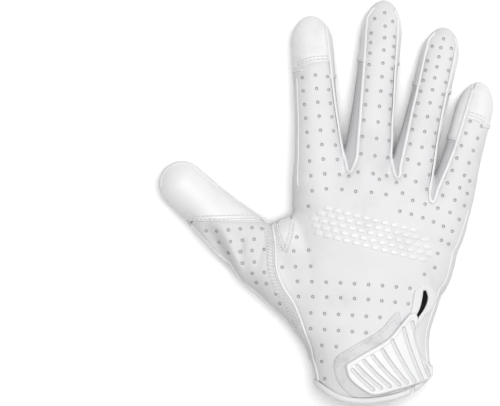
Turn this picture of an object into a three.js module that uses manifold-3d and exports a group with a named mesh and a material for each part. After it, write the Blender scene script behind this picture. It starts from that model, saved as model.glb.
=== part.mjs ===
// A right-hand football receiver glove that lies palm down, filled out as if worn.
// It is built as the real one is: back, palm, finger gussets, tip caps, thumb, cuff, vent and strap tab.
// Millimetres, +Z up, fingers towards +Y, thumb towards -X. The origin is on the palm's flat underside.
import * as THREE from 'three';
import { mergeVertices } from 'three/addons/utils/BufferGeometryUtils.js';
import Module from 'manifold-3d';

const wasm = await Module();
wasm.setup();

// Leather and seams
const LEATHER = 1.4;
const SEAM_GAP = 0.3;
const PALM_SEAM_DROP = 2.5;

// Hand: the widths of its sections are shares of PALM_WIDTH, their heights of PALM_HEIGHT
const PALM_WIDTH = 100;
const PALM_HEIGHT = 36;
const WRIST_Y = -70;
const HAND_LENGTH = 136;
const HAND_ROUNDNESS = 2.3;
const HAND_SIDES = 26;
const HAND_SECTIONS = [
  { along: 0.0, left: -0.318, right: 0.33, top: 1.05, bottom: -0.02 },
  { along: 0.14, left: -0.316, right: 0.332, top: 1.04, bottom: -0.02 },
  { along: 0.25, left: -0.355, right: 0.316, top: 1.0, bottom: -0.035 },
  { along: 0.353, left: -0.44, right: 0.325, top: 0.98, bottom: -0.04 },
  { along: 0.47, left: -0.475, right: 0.382, top: 0.97, bottom: -0.045 },
  { along: 0.576, left: -0.478, right: 0.445, top: 0.96, bottom: -0.045 },
  { along: 0.718, left: -0.463, right: 0.478, top: 0.94, bottom: -0.02 },
  { along: 0.831, left: -0.448, right: 0.505, top: 0.91, bottom: 0.03 },
  { along: 0.92, left: -0.435, right: 0.515, top: 0.86, bottom: 0.1 },
  { along: 0.97, left: -0.41, right: 0.5, top: 0.79, bottom: 0.18 },
  { along: 1.0, left: -0.35, right: 0.45, top: 0.66, bottom: 0.32 },
];

// The line of knuckles falls back towards the little finger
const KNUCKLE_DROP = 22;
const KNUCKLE_DROP_FROM = -0.1;
const KNUCKLE_DROP_TO = 0.5;

// Fingers: across and up are the root in shares of PALM_WIDTH, lean turns towards the little finger, in degrees
const FINGER_SIDES = 12;
const FINGER_ROUNDNESS = 2.1;
const KNUCKLE_HEIGHT = 18;
const FINGERS = {
  index: { across: -0.268, up: 0.4, lean: -3.8, length: 113.2, width: 23.6, depth: 19, tip: 15 },
  middle: { across: -0.062, up: 0.4, lean: 6.5, length: 122.5, width: 23.2, depth: 20, tip: 20 },
  ring: { across: 0.147, up: 0.36, lean: 13.9, length: 113.6, width: 21.8, depth: 19, tip: 17 },
  little: { across: 0.379, up: 0.3, lean: 15.6, length: 89, width: 21.2, depth: 17, tip: 18 },
};

// width, depth and rise are shares of the finger's own sizes
const FINGER_SECTIONS = [
  { along: 0.0, width: 0.9, depth: 1.04, rise: 1.0 },
  { along: 0.23, width: 1.19, depth: 1.12, rise: 1.02 },
  { along: 0.44, width: 1.07, depth: 1.04, rise: 0.96 },
  { along: 0.65, width: 0.99, depth: 0.99, rise: 0.81 },
  { along: 0.84, width: 0.99, depth: 0.93, rise: 0.6 },
  { along: 1.0, width: 0.94, depth: 0.86, rise: 0.46 },
];

// How far the back panel's strip reaches to each side of a finger, in shares of the finger's half width
const STRIP_STARTS = 0.25;
const STRIP_MIDDLE = 0.55;
const STRIP_ENDS = 0.9;
const OVER_THE_SIDE = 1.4;
const STRIPS = {
  index: { left: [OVER_THE_SIDE, OVER_THE_SIDE, OVER_THE_SIDE], right: [0.98, 0.87, 0.8] },
  middle: { left: [0.45, 0.6, 0.8], right: [0.97, 0.9, 0.78] },
  ring: { left: [0.58, 0.69, 0.74], right: [0.88, 0.77, 0.7] },
  little: { left: [0.66, 0.48, 0.36], right: [OVER_THE_SIDE, OVER_THE_SIDE, OVER_THE_SIDE] },
};
const TIP_RINGS = 3;
const TIP_WRAP = 35;
const CAPS = { index: 26.5, little: 21.5 };

// Thumb: its own straight axis, rooted in the heel of the hand
const THUMB = { across: -0.294, up: -0.122, lean: -47.4, length: 117.5, width: 32, depth: 26, tip: 13 };
const THUMB_HEIGHT = 13.5;
const THUMB_SECTIONS = [
  { along: 0.0, width: 1.0, depth: 0.95, rise: 1.15 },
  { along: 0.25, width: 1.07, depth: 1.02, rise: 1.08 },
  { along: 0.45, width: 1.05, depth: 1.02, rise: 1.0 },
  { along: 0.57, width: 0.98, depth: 0.97, rise: 0.92 },
  { along: 0.7, width: 0.88, depth: 0.9, rise: 0.85 },
  { along: 0.85, width: 0.83, depth: 0.84, rise: 0.79 },
  { along: 1.0, width: 0.79, depth: 0.78, rise: 0.74 },
];
const THUMB_CAP_UP = 0.38;

// The web of skin and leather between thumb and index finger
const WEB = { across: -0.36, up: 0.02, lean: -25, length: 40, width: 21, depth: 23, tip: 9 };
const WEB_SECTIONS = [
  { along: 0.0, width: 0.9, depth: 0.9, rise: 1.25 },
  { along: 0.5, width: 1.0, depth: 1.0, rise: 1.25 },
  { along: 1.0, width: 0.95, depth: 0.9, rise: 1.2 },
];

// Folds in the thumb's upper side: both ends in shares of PALM_WIDTH, heights of PALM_HEIGHT,
// width and depth of FOLD_WIDTH
const FOLD_SIDES = 6;
const FOLD_WIDTH = 5.5;
const FOLDS = [
  { across: -0.93, up: 0.36, high: 0.68, toAcross: -0.7, toUp: 0.05, toHigh: 0.42, width: 1, depth: 0.47 },
  { across: -0.77, up: 0.36, high: 0.82, toAcross: -0.66, toUp: 0.1, toHigh: 0.76, width: 0.82, depth: 0.36 },
  { across: -0.66, up: 0.32, high: 0.85, toAcross: -0.59, toUp: 0.03, toHigh: 0.8, width: 0.73, depth: 0.31 },
];

// Seams on the back of the hand, in shares of PALM_WIDTH from the origin
const THUMB_SEAM = [
  { across: -0.3, up: -0.8 },
  { across: -0.3, up: -0.53 },
  { across: -0.327, up: -0.36 },
  { across: -0.381, up: -0.224 },
  { across: -0.437, up: -0.08 },
  { across: -0.5, up: 0.02 },
  { across: -0.533, up: 0.112 },
  { across: -0.54, up: 0.237 },
  { across: -0.557, up: 0.37 },
];
const WEB_INSERT = [
  { across: -0.54, up: 0.45 },
  { across: -0.455, up: 0.5 },
  { across: -0.452, up: 0.33 },
  { across: -0.487, up: 0.207 },
  { across: -0.522, up: 0.31 },
];
const BACK_TOP = [
  { across: -0.527, up: 0.39 },
  { across: -0.56, up: 0.6 },
  { across: -0.129, up: 0.64 },
  { across: 0.135, up: 0.61 },
  { across: 0.33, up: 0.475 },
  { across: 0.7, up: 0.42 },
  { across: 0.7, up: -0.8 },
];

// Cuff: its edge bows towards the wrist and rises to both sides
const CUFF_EDGE = [
  { across: -0.9, up: -0.4 },
  { across: -0.34, up: -0.53 },
  { across: -0.29, up: -0.56 },
  { across: -0.21, up: -0.605 },
  { across: -0.1, up: -0.627 },
  { across: 0.05, up: -0.618 },
  { across: 0.19, up: -0.582 },
  { across: 0.29, up: -0.52 },
  { across: 0.345, up: -0.455 },
  { across: 0.9, up: 0.1 },
];
const CUFF_BAND = 3.6;
const CUFF_PROUD = 0.7;

// Vent: a slit under the strap tab with a bound keyhole at its top, placed by shares of PALM_WIDTH;
// its rows are shares of VENT_LENGTH and of VENT_WIDTH
const VENT_ACROSS = 0.284;
const VENT_UP = -0.006;
const VENT_LENGTH = 70;
const VENT_WIDTH = 13.4;
const VENT_PROUD = 0.9;
const VENT_SECTIONS = [
  { down: -0.038, across: 0.0, slit: 0.0, binding: 0.08 },
  { down: -0.025, across: 0.0, slit: 0.0, binding: 0.26 },
  { down: 0.0, across: 0.0, slit: 0.05, binding: 0.42 },
  { down: 0.06, across: 0.02, slit: 0.11, binding: 0.5 },
  { down: 0.14, across: -0.1, slit: 0.09, binding: 0.45 },
  { down: 0.22, across: -0.35, slit: 0.05, binding: 0.3 },
  { down: 0.3, across: -0.52, slit: 0.04, binding: 0.25 },
  { down: 0.5, across: -0.62, slit: 0.04, binding: 0.25 },
  { down: 0.7, across: -0.55, slit: 0.04, binding: 0.25 },
  { down: 1.1, across: -0.4, slit: 0.04, binding: 0.25 },
];

// Strap tab: a moulded plate with sunk channels. Its lower corner is placed by shares of PALM_WIDTH,
// and its rows are shares of TAB_LENGTH and TAB_HEIGHT from there
const TAB_ACROSS = -0.154;
const TAB_UP = -0.575;
const TAB_LENGTH = 48.8;
const TAB_HEIGHT = 44.8;
const TAB_THICK = 2.4;
const TAB_CLEAR = 1.5;
const TAB_CHANNEL_DEPTH = 0.8;
const TAB_OUTLINE = [
  { along: 0.0, up: 0.33 },
  { along: 0.0, up: 0.37 },
  { along: 0.06, up: 0.415 },
  { along: 0.22, up: 0.52 },
  { along: 0.37, up: 0.61 },
  { along: 0.49, up: 0.7 },
  { along: 0.62, up: 0.86 },
  { along: 0.74, up: 0.995 },
  { along: 0.8, up: 0.98 },
  { along: 0.818, up: 0.9 },
  { along: 0.79, up: 0.79 },
  { along: 0.795, up: 0.64 },
  { along: 0.84, up: 0.51 },
  { along: 0.93, up: 0.38 },
  { along: 0.995, up: 0.3 },
  { along: 0.975, up: 0.21 },
  { along: 0.82, up: 0.14 },
  { along: 0.6, up: 0.07 },
  { along: 0.32, up: 0.0 },
  { along: 0.25, up: 0.02 },
  { along: 0.04, up: 0.2 },
];
const TAB_OUTLINE_STEPS = 32;
const TAB_CHANNEL_WIDTH = 2.5;
const TAB_CHANNEL_STEPS = 3;
const TAB_CHANNELS = [
  { topAlong: 0.115, topUp: 0.315, bendAlong: 0.21, bendUp: 0.215, endAlong: 0.33, endUp: 0.12 },
  { topAlong: 0.2, topUp: 0.39, bendAlong: 0.32, bendUp: 0.26, endAlong: 0.46, endUp: 0.13 },
  { topAlong: 0.29, topUp: 0.465, bendAlong: 0.4, bendUp: 0.31, endAlong: 0.57, endUp: 0.155 },
  { topAlong: 0.39, topUp: 0.535, bendAlong: 0.485, bendUp: 0.35, endAlong: 0.67, endUp: 0.185 },
  { topAlong: 0.49, topUp: 0.62, bendAlong: 0.565, bendUp: 0.4, endAlong: 0.76, endUp: 0.215 },
  { topAlong: 0.59, topUp: 0.73, bendAlong: 0.645, bendUp: 0.45, endAlong: 0.85, endUp: 0.25 },
  { topAlong: 0.7, topUp: 0.84, bendAlong: 0.725, bendUp: 0.5, endAlong: 0.91, endUp: 0.28 },
];

// Fastener patch under the tab
const PATCH_THICK = 0.9;
const PATCH_MARGIN = 7.5;
const PATCH_RIGHT = 0.62;

// A closed solid from rings of points with equal counts, closed at both ends by a fan.
function loft(rings) {
  const sides = rings[0].length;
  const points = rings.flat();
  const triangles = [];
  for (let ring = 0; ring < rings.length - 1; ring++) {
    for (let side = 0; side < sides; side++) {
      const next = (side + 1) % sides;
      const a = ring * sides + side;
      const b = ring * sides + next;
      triangles.push(a, b, b + sides, a, b + sides, a + sides);
    }
  }
  for (const [first, flip] of [[0, true], [(rings.length - 1) * sides, false]]) {
    const middle = new THREE.Vector3();
    for (let side = 0; side < sides; side++) middle.addScaledVector(points[first + side], 1 / sides);
    points.push(middle);
    for (let side = 0; side < sides; side++) {
      const a = first + side;
      const b = first + ((side + 1) % sides);
      triangles.push(...(flip ? [b, a] : [a, b]), points.length - 1);
    }
  }
  const geometry = new THREE.BufferGeometry().setFromPoints(points);
  geometry.setIndex(triangles);
  return solidOf(geometry);
}

// A geometry as a boolean solid, with its faces turned outwards.
function solidOf(geometry) {
  const bare = geometry.clone();
  bare.deleteAttribute('normal');
  bare.deleteAttribute('uv');
  const merged = mergeVertices(bare, 1e-4);
  const vertProperties = new Float32Array(merged.attributes.position.array);
  const triVerts = new Uint32Array(merged.index.array);
  const made = new wasm.Manifold(new wasm.Mesh({ numProp: 3, vertProperties, triVerts }));
  if (made.volume() >= 0) return made;
  return new wasm.Manifold(new wasm.Mesh({ numProp: 3, vertProperties, triVerts: triVerts.reverse() }));
}

// An upright prism over an outline of plan points.
function prism(outline, low, high) {
  const flat = new THREE.Shape(outline.map((p) => new THREE.Vector2(p.x, p.y)));
  const geometry = new THREE.ExtrudeGeometry(flat, { depth: high - low, bevelEnabled: false });
  geometry.translate(0, 0, low);
  return solidOf(geometry);
}

// The outline moved outwards by a distance, corner by corner.
function grown(outline, distance) {
  const turn = THREE.ShapeUtils.isClockWise(outline) ? 1 : -1;
  return outline.map((p, i) => {
    const before = outline[(i + outline.length - 1) % outline.length];
    const after = outline[(i + 1) % outline.length];
    const one = new THREE.Vector2().subVectors(p, before).normalize();
    const two = new THREE.Vector2().subVectors(after, p).normalize();
    const normal = new THREE.Vector2(-one.y - two.y, one.x + two.x).normalize();
    const stretch = Math.max(0.5, normal.x * -one.y + normal.y * one.x);
    return p.clone().addScaledVector(normal, (turn * distance) / stretch);
  });
}

// A smooth curve through plan points, as a list of points.
function smooth(points, steps, closed = false) {
  const curve = new THREE.CatmullRomCurve3(points.map((p) => new THREE.Vector3(p.x, p.y, 0)), closed);
  const found = curve.getPoints(steps);
  if (closed) found.pop();
  return found.map((p) => new THREE.Vector2(p.x, p.y));
}

// The row of a table at a share along it, each column eased from row to row.
function rowAt(table, along) {
  const last = table.length - 1;
  let i = table.findIndex((row) => row.along > along) - 1;
  if (i === -2) i = last - 1;
  i = Math.max(0, Math.min(last - 1, i));
  const [before, start, end, after] = [i - 1, i, i + 1, i + 2].map((k) => table[Math.max(0, Math.min(last, k))]);
  const span = end.along - start.along;
  const t = Math.max(0, Math.min(1, (along - start.along) / span));
  const row = { along };
  for (const column of Object.keys(start)) {
    if (column === 'along') continue;
    const rise = end[column] - start[column];
    const slopeIn = i > 0 ? (end[column] - before[column]) / (end.along - before.along) : rise / span;
    const slopeOut = i < last - 1 ? (after[column] - start[column]) / (after.along - start.along) : rise / span;
    const [t2, t3] = [t * t, t * t * t];
    row[column] = start[column] + rise * (3 * t2 - 2 * t3)
      + span * (slopeIn * (t3 - 2 * t2 + t) + slopeOut * (t3 - t2));
  }
  return row;
}

// One quadrant-symmetric rounded section, as offsets across and up.
function roundSection(sides, halfWidth, halfDepth, roundness) {
  return Array.from({ length: sides }, (_, side) => {
    const angle = (2 * Math.PI * side) / sides;
    const [c, s] = [Math.cos(angle), Math.sin(angle)];
    return {
      across: halfWidth * Math.sign(c) * Math.abs(c) ** (2 / roundness),
      up: halfDepth * Math.sign(s) * Math.abs(s) ** (2 / roundness),
    };
  });
}

// How far the knuckle line has fallen back at a place across the hand.
function knuckleDrop(x) {
  const span = (KNUCKLE_DROP_TO - KNUCKLE_DROP_FROM) * PALM_WIDTH;
  const share = Math.max(0, Math.min(1.15, (x - KNUCKLE_DROP_FROM * PALM_WIDTH) / span));
  return KNUCKLE_DROP * share * share;
}

// The hand's outer form, grown outwards by a distance or, if it is negative, drawn in.
function hand(outwards, wristOverrun = 0) {
  const rings = HAND_SECTIONS.map((row) => {
    const left = row.left * PALM_WIDTH - outwards;
    const right = row.right * PALM_WIDTH + outwards;
    const top = row.top * PALM_HEIGHT + outwards;
    const bottom = row.bottom * PALM_HEIGHT - outwards;
    const late = THREE.MathUtils.smoothstep(row.along, 0.55, 1);
    const end = row.along === 1 ? outwards : 0;
    return roundSection(HAND_SIDES, (right - left) / 2, (top - bottom) / 2, HAND_ROUNDNESS).map((p) => {
      const x = (left + right) / 2 + p.across;
      const y = WRIST_Y + row.along * HAND_LENGTH - late * knuckleDrop(x) + end;
      return new THREE.Vector3(x, row.along === 0 ? y - wristOverrun : y, (top + bottom) / 2 + p.up);
    });
  });
  return loft(rings);
}

// Where a finger or the thumb is at a distance along it: its centre, size and directions.
function station(digit, sections, height, distance) {
  const row = rowAt(sections, Math.min(1, distance / digit.length));
  const lean = THREE.MathUtils.degToRad(digit.lean);
  const forward = new THREE.Vector3(Math.sin(lean), Math.cos(lean), 0);
  const across = new THREE.Vector3(Math.cos(lean), -Math.sin(lean), 0);
  const root = new THREE.Vector3(digit.across * PALM_WIDTH, digit.up * PALM_WIDTH, row.rise * height);
  const centre = root.addScaledVector(forward, distance);
  const halfWidth = (row.width * digit.width) / 2;
  const halfDepth = (row.depth * digit.depth) / 2;
  return { ...row, centre, across, halfWidth, halfDepth };
}

// A finger's or thumb's outer form, grown outwards or drawn in, with an elongated round tip.
function digitForm(digit, sections, height, outwards) {
  const domeStart = digit.length - digit.tip;
  const plain = sections.map((row) => row.along * digit.length).filter((d) => d < domeStart - 1);
  const rings = [...plain, domeStart].map((d) => ({ d, share: 1 }));
  for (let i = 1; i <= TIP_RINGS; i++) {
    const angle = (0.47 * Math.PI * i) / TIP_RINGS;
    rings.push({ d: domeStart + (digit.tip + outwards) * Math.sin(angle), share: Math.cos(angle) });
  }
  return loft(rings.map(({ d, share }) => {
    const at = station(digit, sections, height, d);
    const round = roundSection(
      FINGER_SIDES, (at.halfWidth + outwards) * share, (at.halfDepth + outwards) * share, FINGER_ROUNDNESS);
    return round.map((p) => at.centre.clone().addScaledVector(at.across, p.across)
      .add(new THREE.Vector3(0, 0, p.up)));
  }));
}

// A block that follows a finger between two distances; its sides and heights come from each station.
function fingerBlock(digit, from, to, edges) {
  const inner = FINGER_SECTIONS.map((row) => row.along * digit.length).filter((d) => d > from + 1 && d < to - 1);
  return loft([from, ...inner, to].map((d) => {
    const at = station(digit, FINGER_SECTIONS, KNUCKLE_HEIGHT, d);
    const { left, right, low, high } = edges(at);
    const corner = (across, z) => {
      const p = at.centre.clone().addScaledVector(at.across, across);
      return new THREE.Vector3(p.x, p.y, z);
    };
    return [corner(left, low), corner(right, low), corner(right, high), corner(left, high)];
  }));
}

const inPlan = (rows) => rows.map((row) => new THREE.Vector2(row.across * PALM_WIDTH, row.up * PALM_WIDTH));
const onTab = (along, up) => new THREE.Vector2(
  TAB_ACROSS * PALM_WIDTH + along * TAB_LENGTH, TAB_UP * PALM_WIDTH + up * TAB_HEIGHT);
const HIGH = 3 * PALM_HEIGHT;
const LOW = -PALM_HEIGHT;
const BEYOND = 0.2 * PALM_WIDTH;
const SEAM_HEIGHT = KNUCKLE_HEIGHT - PALM_SEAM_DROP;

// A long shallow spindle along a fold, with its waist at the fold's middle.
function foldForm(row, outwards) {
  const from = new THREE.Vector3(row.across * PALM_WIDTH, row.up * PALM_WIDTH, row.high * PALM_HEIGHT);
  const to = new THREE.Vector3(row.toAcross * PALM_WIDTH, row.toUp * PALM_WIDTH, row.toHigh * PALM_HEIGHT);
  const across = new THREE.Vector3().subVectors(to, from).cross(new THREE.Vector3(0, 0, 1)).normalize();
  return loft([0.04, 0.3, 0.7, 0.96].map((share) => {
    const centre = from.clone().lerp(to, share);
    const waist = Math.sin(Math.PI * share) * FOLD_WIDTH;
    const round = roundSection(FOLD_SIDES, (row.width * waist) / 2 + outwards, row.depth * waist + outwards, 2);
    return round.map((p) => centre.clone().addScaledVector(across, p.across).add(new THREE.Vector3(0, 0, p.up)));
  }));
}

// The whole glove as one form
function form(outwards, wristOverrun) {
  const digits = Object.values(FINGERS).map((f) => digitForm(f, FINGER_SECTIONS, KNUCKLE_HEIGHT, outwards));
  digits.push(digitForm(THUMB, THUMB_SECTIONS, THUMB_HEIGHT, outwards));
  digits.push(digitForm(WEB, WEB_SECTIONS, THUMB_HEIGHT, outwards));
  const folds = FOLDS.map((row) => foldForm(row, -outwards));
  return wasm.Manifold.union([hand(outwards, wristOverrun), ...digits]).subtract(wasm.Manifold.union(folds));
}
const outside = form(0, 0).trimByPlane([0, 0, 1], 0);
const cavity = form(-LEATHER, BEYOND).trimByPlane([0, 0, 1], LEATHER);

// The plan region on the wrist side of the cuff's edge, moved up the hand by a distance.
function belowCuff(distance) {
  const edge = smooth(inPlan(CUFF_EDGE), 2 * CUFF_EDGE.length);
  const base = WRIST_Y - 2 * BEYOND;
  const ends = [edge[edge.length - 1].clone().setY(base), edge[0].clone().setY(base)];
  return prism(grown([...edge, ...ends], distance), LOW, HIGH);
}

// The vent's plan outline, by one of its half-width columns.
function ventOutline(column, extra) {
  const side = (sign) => smooth(VENT_SECTIONS.filter((row) => row[column] > 0).map((row) => ({
    x: VENT_ACROSS * PALM_WIDTH + row.across * VENT_WIDTH + sign * (row[column] * VENT_WIDTH + extra),
    y: VENT_UP * PALM_WIDTH - row.down * VENT_LENGTH + (row.down < 0 ? extra : 0),
  })), 2 * VENT_SECTIONS.length);
  return [...side(-1), ...side(1).reverse()];
}
const vent = (column, extra) => prism(ventOutline(column, extra), SEAM_HEIGHT, HIGH);
const slit = vent('slit', 0);

let rest = outside.subtract(cavity).subtract(belowCuff(0));
const pieces = new Map();

// The bodies of a solid, the largest first.
const bodies = (solid) => solid.decompose().sort((a, b) => b.volume() - a.volume());

// Takes a named piece out of what is left of the shell, and leaves a seam's gap round it.
function take(name, region) {
  pieces.set(name, bodies(rest.intersect(region(0)))[0]);
  rest = rest.subtract(region(SEAM_GAP));
}

// A strip's reach to one side at a share along its finger.
function stripReach([start, middle, end], along) {
  if (along < STRIP_MIDDLE) {
    return THREE.MathUtils.mapLinear(Math.max(along, STRIP_STARTS), STRIP_STARTS, STRIP_MIDDLE, start, middle);
  }
  return THREE.MathUtils.mapLinear(Math.min(along, STRIP_ENDS), STRIP_MIDDLE, STRIP_ENDS, middle, end);
}

// A finger's back strip; the first and last finger's strips wrap over the hand's outer sides.
function backStrip(name, from, gap) {
  const digit = FINGERS[name];
  return fingerBlock(digit, from, digit.length + BEYOND, (at) => ({
    left: -stripReach(STRIPS[name].left, at.along) * at.halfWidth - gap,
    right: stripReach(STRIPS[name].right, at.along) * at.halfWidth + gap,
    low: at.centre.z - PALM_SEAM_DROP + SEAM_GAP - gap,
    high: HIGH,
  }));
}

// Cuff binding, thicker than the panels it holds
pieces.set('cuff_binding', hand(CUFF_PROUD, BEYOND).trimByPlane([0, 0, 1], 0)
  .subtract(cavity).intersect(belowCuff(CUFF_BAND)).subtract(belowCuff(0)).subtract(slit));
rest = rest.subtract(belowCuff(CUFF_BAND + SEAM_GAP));

// Vent binding: the raised edge of the keyhole and slit, down to the cuff
pieces.set('vent_binding', hand(VENT_PROUD).subtract(cavity).intersect(vent('binding', 0))
  .subtract(slit).subtract(belowCuff(CUFF_BAND + SEAM_GAP)));
rest = rest.subtract(vent('binding', SEAM_GAP));

// Caps on the thumb, the index finger and the little finger
take('thumb_cap', (gap) => prism([
  new THREE.Vector2(-1.6 * PALM_WIDTH, THUMB_CAP_UP * PALM_WIDTH - gap),
  new THREE.Vector2(-0.5 * PALM_WIDTH + gap, THUMB_CAP_UP * PALM_WIDTH - gap),
  new THREE.Vector2(-0.5 * PALM_WIDTH + gap, PALM_WIDTH),
  new THREE.Vector2(-1.6 * PALM_WIDTH, PALM_WIDTH),
], LOW, HIGH));
for (const [name, length] of Object.entries(CAPS)) {
  take(`${name}_cap`, (gap) => backStrip(name, FINGERS[name].length - length - gap, gap));
}

// Web insert between the thumb and the index finger
take('web_insert', (gap) => prism(grown(inPlan(WEB_INSERT), gap), SEAM_HEIGHT - gap, HIGH));

// Back panel: the back of the hand and four finger strips
const thumbSeam = smooth(inPlan(THUMB_SEAM), 2 * THUMB_SEAM.length);
take('back_panel', (gap) => {
  const outline = grown([...thumbSeam, ...inPlan(BACK_TOP)], gap);
  const strips = Object.keys(FINGERS).map((name) => backStrip(name, 0, gap));
  return wasm.Manifold.union([prism(outline, SEAM_HEIGHT + SEAM_GAP - gap, HIGH), ...strips]);
});

// Thumb gusset: the upper side of the thumb's root, from the cap down to the cuff
take('thumb_gusset', (gap) => prism([
  ...thumbSeam,
  new THREE.Vector2(-0.5 * PALM_WIDTH, THUMB_CAP_UP * PALM_WIDTH),
  new THREE.Vector2(-1.6 * PALM_WIDTH, THUMB_CAP_UP * PALM_WIDTH),
  new THREE.Vector2(-1.6 * PALM_WIDTH, WRIST_Y - BEYOND),
], SEAM_HEIGHT + SEAM_GAP - gap, HIGH));

// Palm panel: the underside, and the sides of the fingertips
take('palm_panel', (gap) => {
  const slabs = Object.values(FINGERS).map((digit) => fingerBlock(digit, 0, digit.length + BEYOND, (at) => ({
    left: -at.halfWidth - BEYOND / 8,
    right: at.halfWidth + BEYOND / 8,
    low: LOW,
    high: at.centre.z - PALM_SEAM_DROP + gap,
  })));
  const tips = Object.values(FINGERS).map((digit) => fingerBlock(
    digit, digit.length - TIP_WRAP - gap, digit.length + BEYOND, (at) => ({
      left: -at.halfWidth - BEYOND / 8, right: at.halfWidth + BEYOND / 8, low: LOW, high: HIGH,
    })));
  const heel = prism([
    new THREE.Vector2(-1.6 * PALM_WIDTH, WRIST_Y - BEYOND),
    new THREE.Vector2(0.8 * PALM_WIDTH, WRIST_Y - BEYOND),
    new THREE.Vector2(0.8 * PALM_WIDTH, 0.7 * PALM_WIDTH),
    new THREE.Vector2(-1.6 * PALM_WIDTH, 0.7 * PALM_WIDTH),
  ], LOW, SEAM_HEIGHT + gap);
  return wasm.Manifold.union([heel, ...slabs, ...tips]);
});

// Finger gussets: the three strips left between neighbouring fingers, from the index finger on
const between = ['gusset_index_middle', 'gusset_middle_ring', 'gusset_ring_little'];
const strips = bodies(rest).slice(0, between.length);
strips.sort((a, b) => a.boundingBox().min[0] - b.boundingBox().min[0]);
strips.forEach((strip, i) => pieces.set(between[i], strip));

// Fastener patch and strap tab, two layers that follow the back of the hand
const tabOutline = smooth(TAB_OUTLINE.map((row) => onTab(row.along, row.up)), TAB_OUTLINE_STEPS, true);
const patchEnd = onTab(PATCH_RIGHT, 0);
const patchRegion = prism(grown(tabOutline, PATCH_MARGIN), 0, HIGH).subtract(prism([
  patchEnd.clone().setY(WRIST_Y), new THREE.Vector2(PALM_WIDTH, WRIST_Y),
  new THREE.Vector2(PALM_WIDTH, PALM_WIDTH), patchEnd.clone().setY(PALM_WIDTH),
], LOW, HIGH)).subtract(belowCuff(CUFF_BAND + SEAM_GAP));
pieces.set('fastener_patch', hand(SEAM_GAP + PATCH_THICK).subtract(hand(SEAM_GAP))
  .intersect(patchRegion).trimByPlane([0, 0, 1], SEAM_HEIGHT));

const channels = TAB_CHANNELS.map((row) => {
  const ends = [onTab(row.topAlong, row.topUp), onTab(row.bendAlong, row.bendUp), onTab(row.endAlong, row.endUp)];
  const path = new THREE.QuadraticBezierCurve(...ends).getPoints(TAB_CHANNEL_STEPS);
  const side = (sign) => path.map((p, i) => {
    const before = path[Math.max(i - 1, 0)];
    const after = path[Math.min(i + 1, TAB_CHANNEL_STEPS)];
    const along = new THREE.Vector2().subVectors(after, before).normalize();
    return new THREE.Vector2(-along.y, along.x).multiplyScalar((sign * TAB_CHANNEL_WIDTH) / 2).add(p);
  });
  return prism([...side(1), ...side(-1).reverse()], SEAM_HEIGHT, HIGH);
});
const channelFloor = hand(TAB_CLEAR + TAB_THICK - TAB_CHANNEL_DEPTH);
const tabRegion = prism(tabOutline, SEAM_HEIGHT - PALM_SEAM_DROP, HIGH);
const tabPlate = hand(TAB_CLEAR + TAB_THICK).subtract(hand(TAB_CLEAR)).intersect(tabRegion);

// The tab's sewn end reaches down to the back panel, between the vent and the cuff
const sewnSide = prism([
  ...ventOutline('binding', SEAM_GAP).slice(-2 * VENT_SECTIONS.length - 1),
  new THREE.Vector2(PALM_WIDTH, VENT_UP * PALM_WIDTH),
  new THREE.Vector2(PALM_WIDTH, WRIST_Y - BEYOND),
].reverse(), SEAM_HEIGHT, HIGH);
const sewnEnd = hand(TAB_CLEAR + TAB_THICK / 2).subtract(hand(SEAM_GAP)).intersect(tabRegion)
  .intersect(sewnSide).subtract(belowCuff(CUFF_BAND + SEAM_GAP));
pieces.set('strap_tab', bodies(tabPlate.subtract(wasm.Manifold.union(channels).subtract(channelFloor))
  .add(sewnEnd))[0]);

// Materials
const leather = (color, roughness) => new THREE.MeshStandardMaterial({ color, roughness, metalness: 0 });
const LOOKS = {
  back_panel: leather(0xe4e4e5, 0.55),
  thumb_gusset: leather(0xe2e2e3, 0.55),
  cuff_binding: leather(0xf4f4f4, 0.7),
  vent_binding: leather(0xf4f4f4, 0.7),
  fastener_patch: leather(0xdcdcdd, 0.95),
  strap_tab: leather(0xf7f7f7, 0.45),
};
const smoothLeather = leather(0xf2f2f2, 0.5);

const glove = new THREE.Group();
for (const [name, solid] of pieces) {
  const { vertProperties, triVerts } = solid.getMesh();
  const geometry = new THREE.BufferGeometry();
  geometry.setAttribute('position', new THREE.BufferAttribute(vertProperties, 3));
  geometry.setIndex(new THREE.BufferAttribute(triVerts, 1));
  const mesh = new THREE.Mesh(geometry, LOOKS[name] ?? smoothLeather);
  mesh.name = name;
  glove.add(mesh);
}

export default glove;
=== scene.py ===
"""A white right-hand football receiver glove, palm down and filled out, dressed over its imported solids.

Plan sizes are in millimetres in the part's own frame: fingers towards +Y, thumb towards -X, floor at Z = 0.
The whole glove is one smooth form. Each panel is cut from that form by its outline in plan.
"""
import math

import bpy
import numpy as np
from bpy.props import FloatProperty, FloatVectorProperty, PointerProperty
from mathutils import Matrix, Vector
from mathutils.geometry import delaunay_2d_cdt
from mathutils.kdtree import KDTree


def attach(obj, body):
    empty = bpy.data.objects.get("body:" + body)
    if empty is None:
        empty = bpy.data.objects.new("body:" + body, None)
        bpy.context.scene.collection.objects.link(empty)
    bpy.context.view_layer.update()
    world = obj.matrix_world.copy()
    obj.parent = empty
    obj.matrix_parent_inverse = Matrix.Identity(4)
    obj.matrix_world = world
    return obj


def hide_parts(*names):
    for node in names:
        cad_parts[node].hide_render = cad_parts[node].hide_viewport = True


bl_info = {
    "name": "Receiver glove",
    "version": (1, 0, 0),
    "blender": (4, 5, 0),
    "location": "3D View > Sidebar > Glove",
    "description": "Dresses the glove's solids with sewn, perforated and moulded pieces",
    "category": "Object",
}

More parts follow.
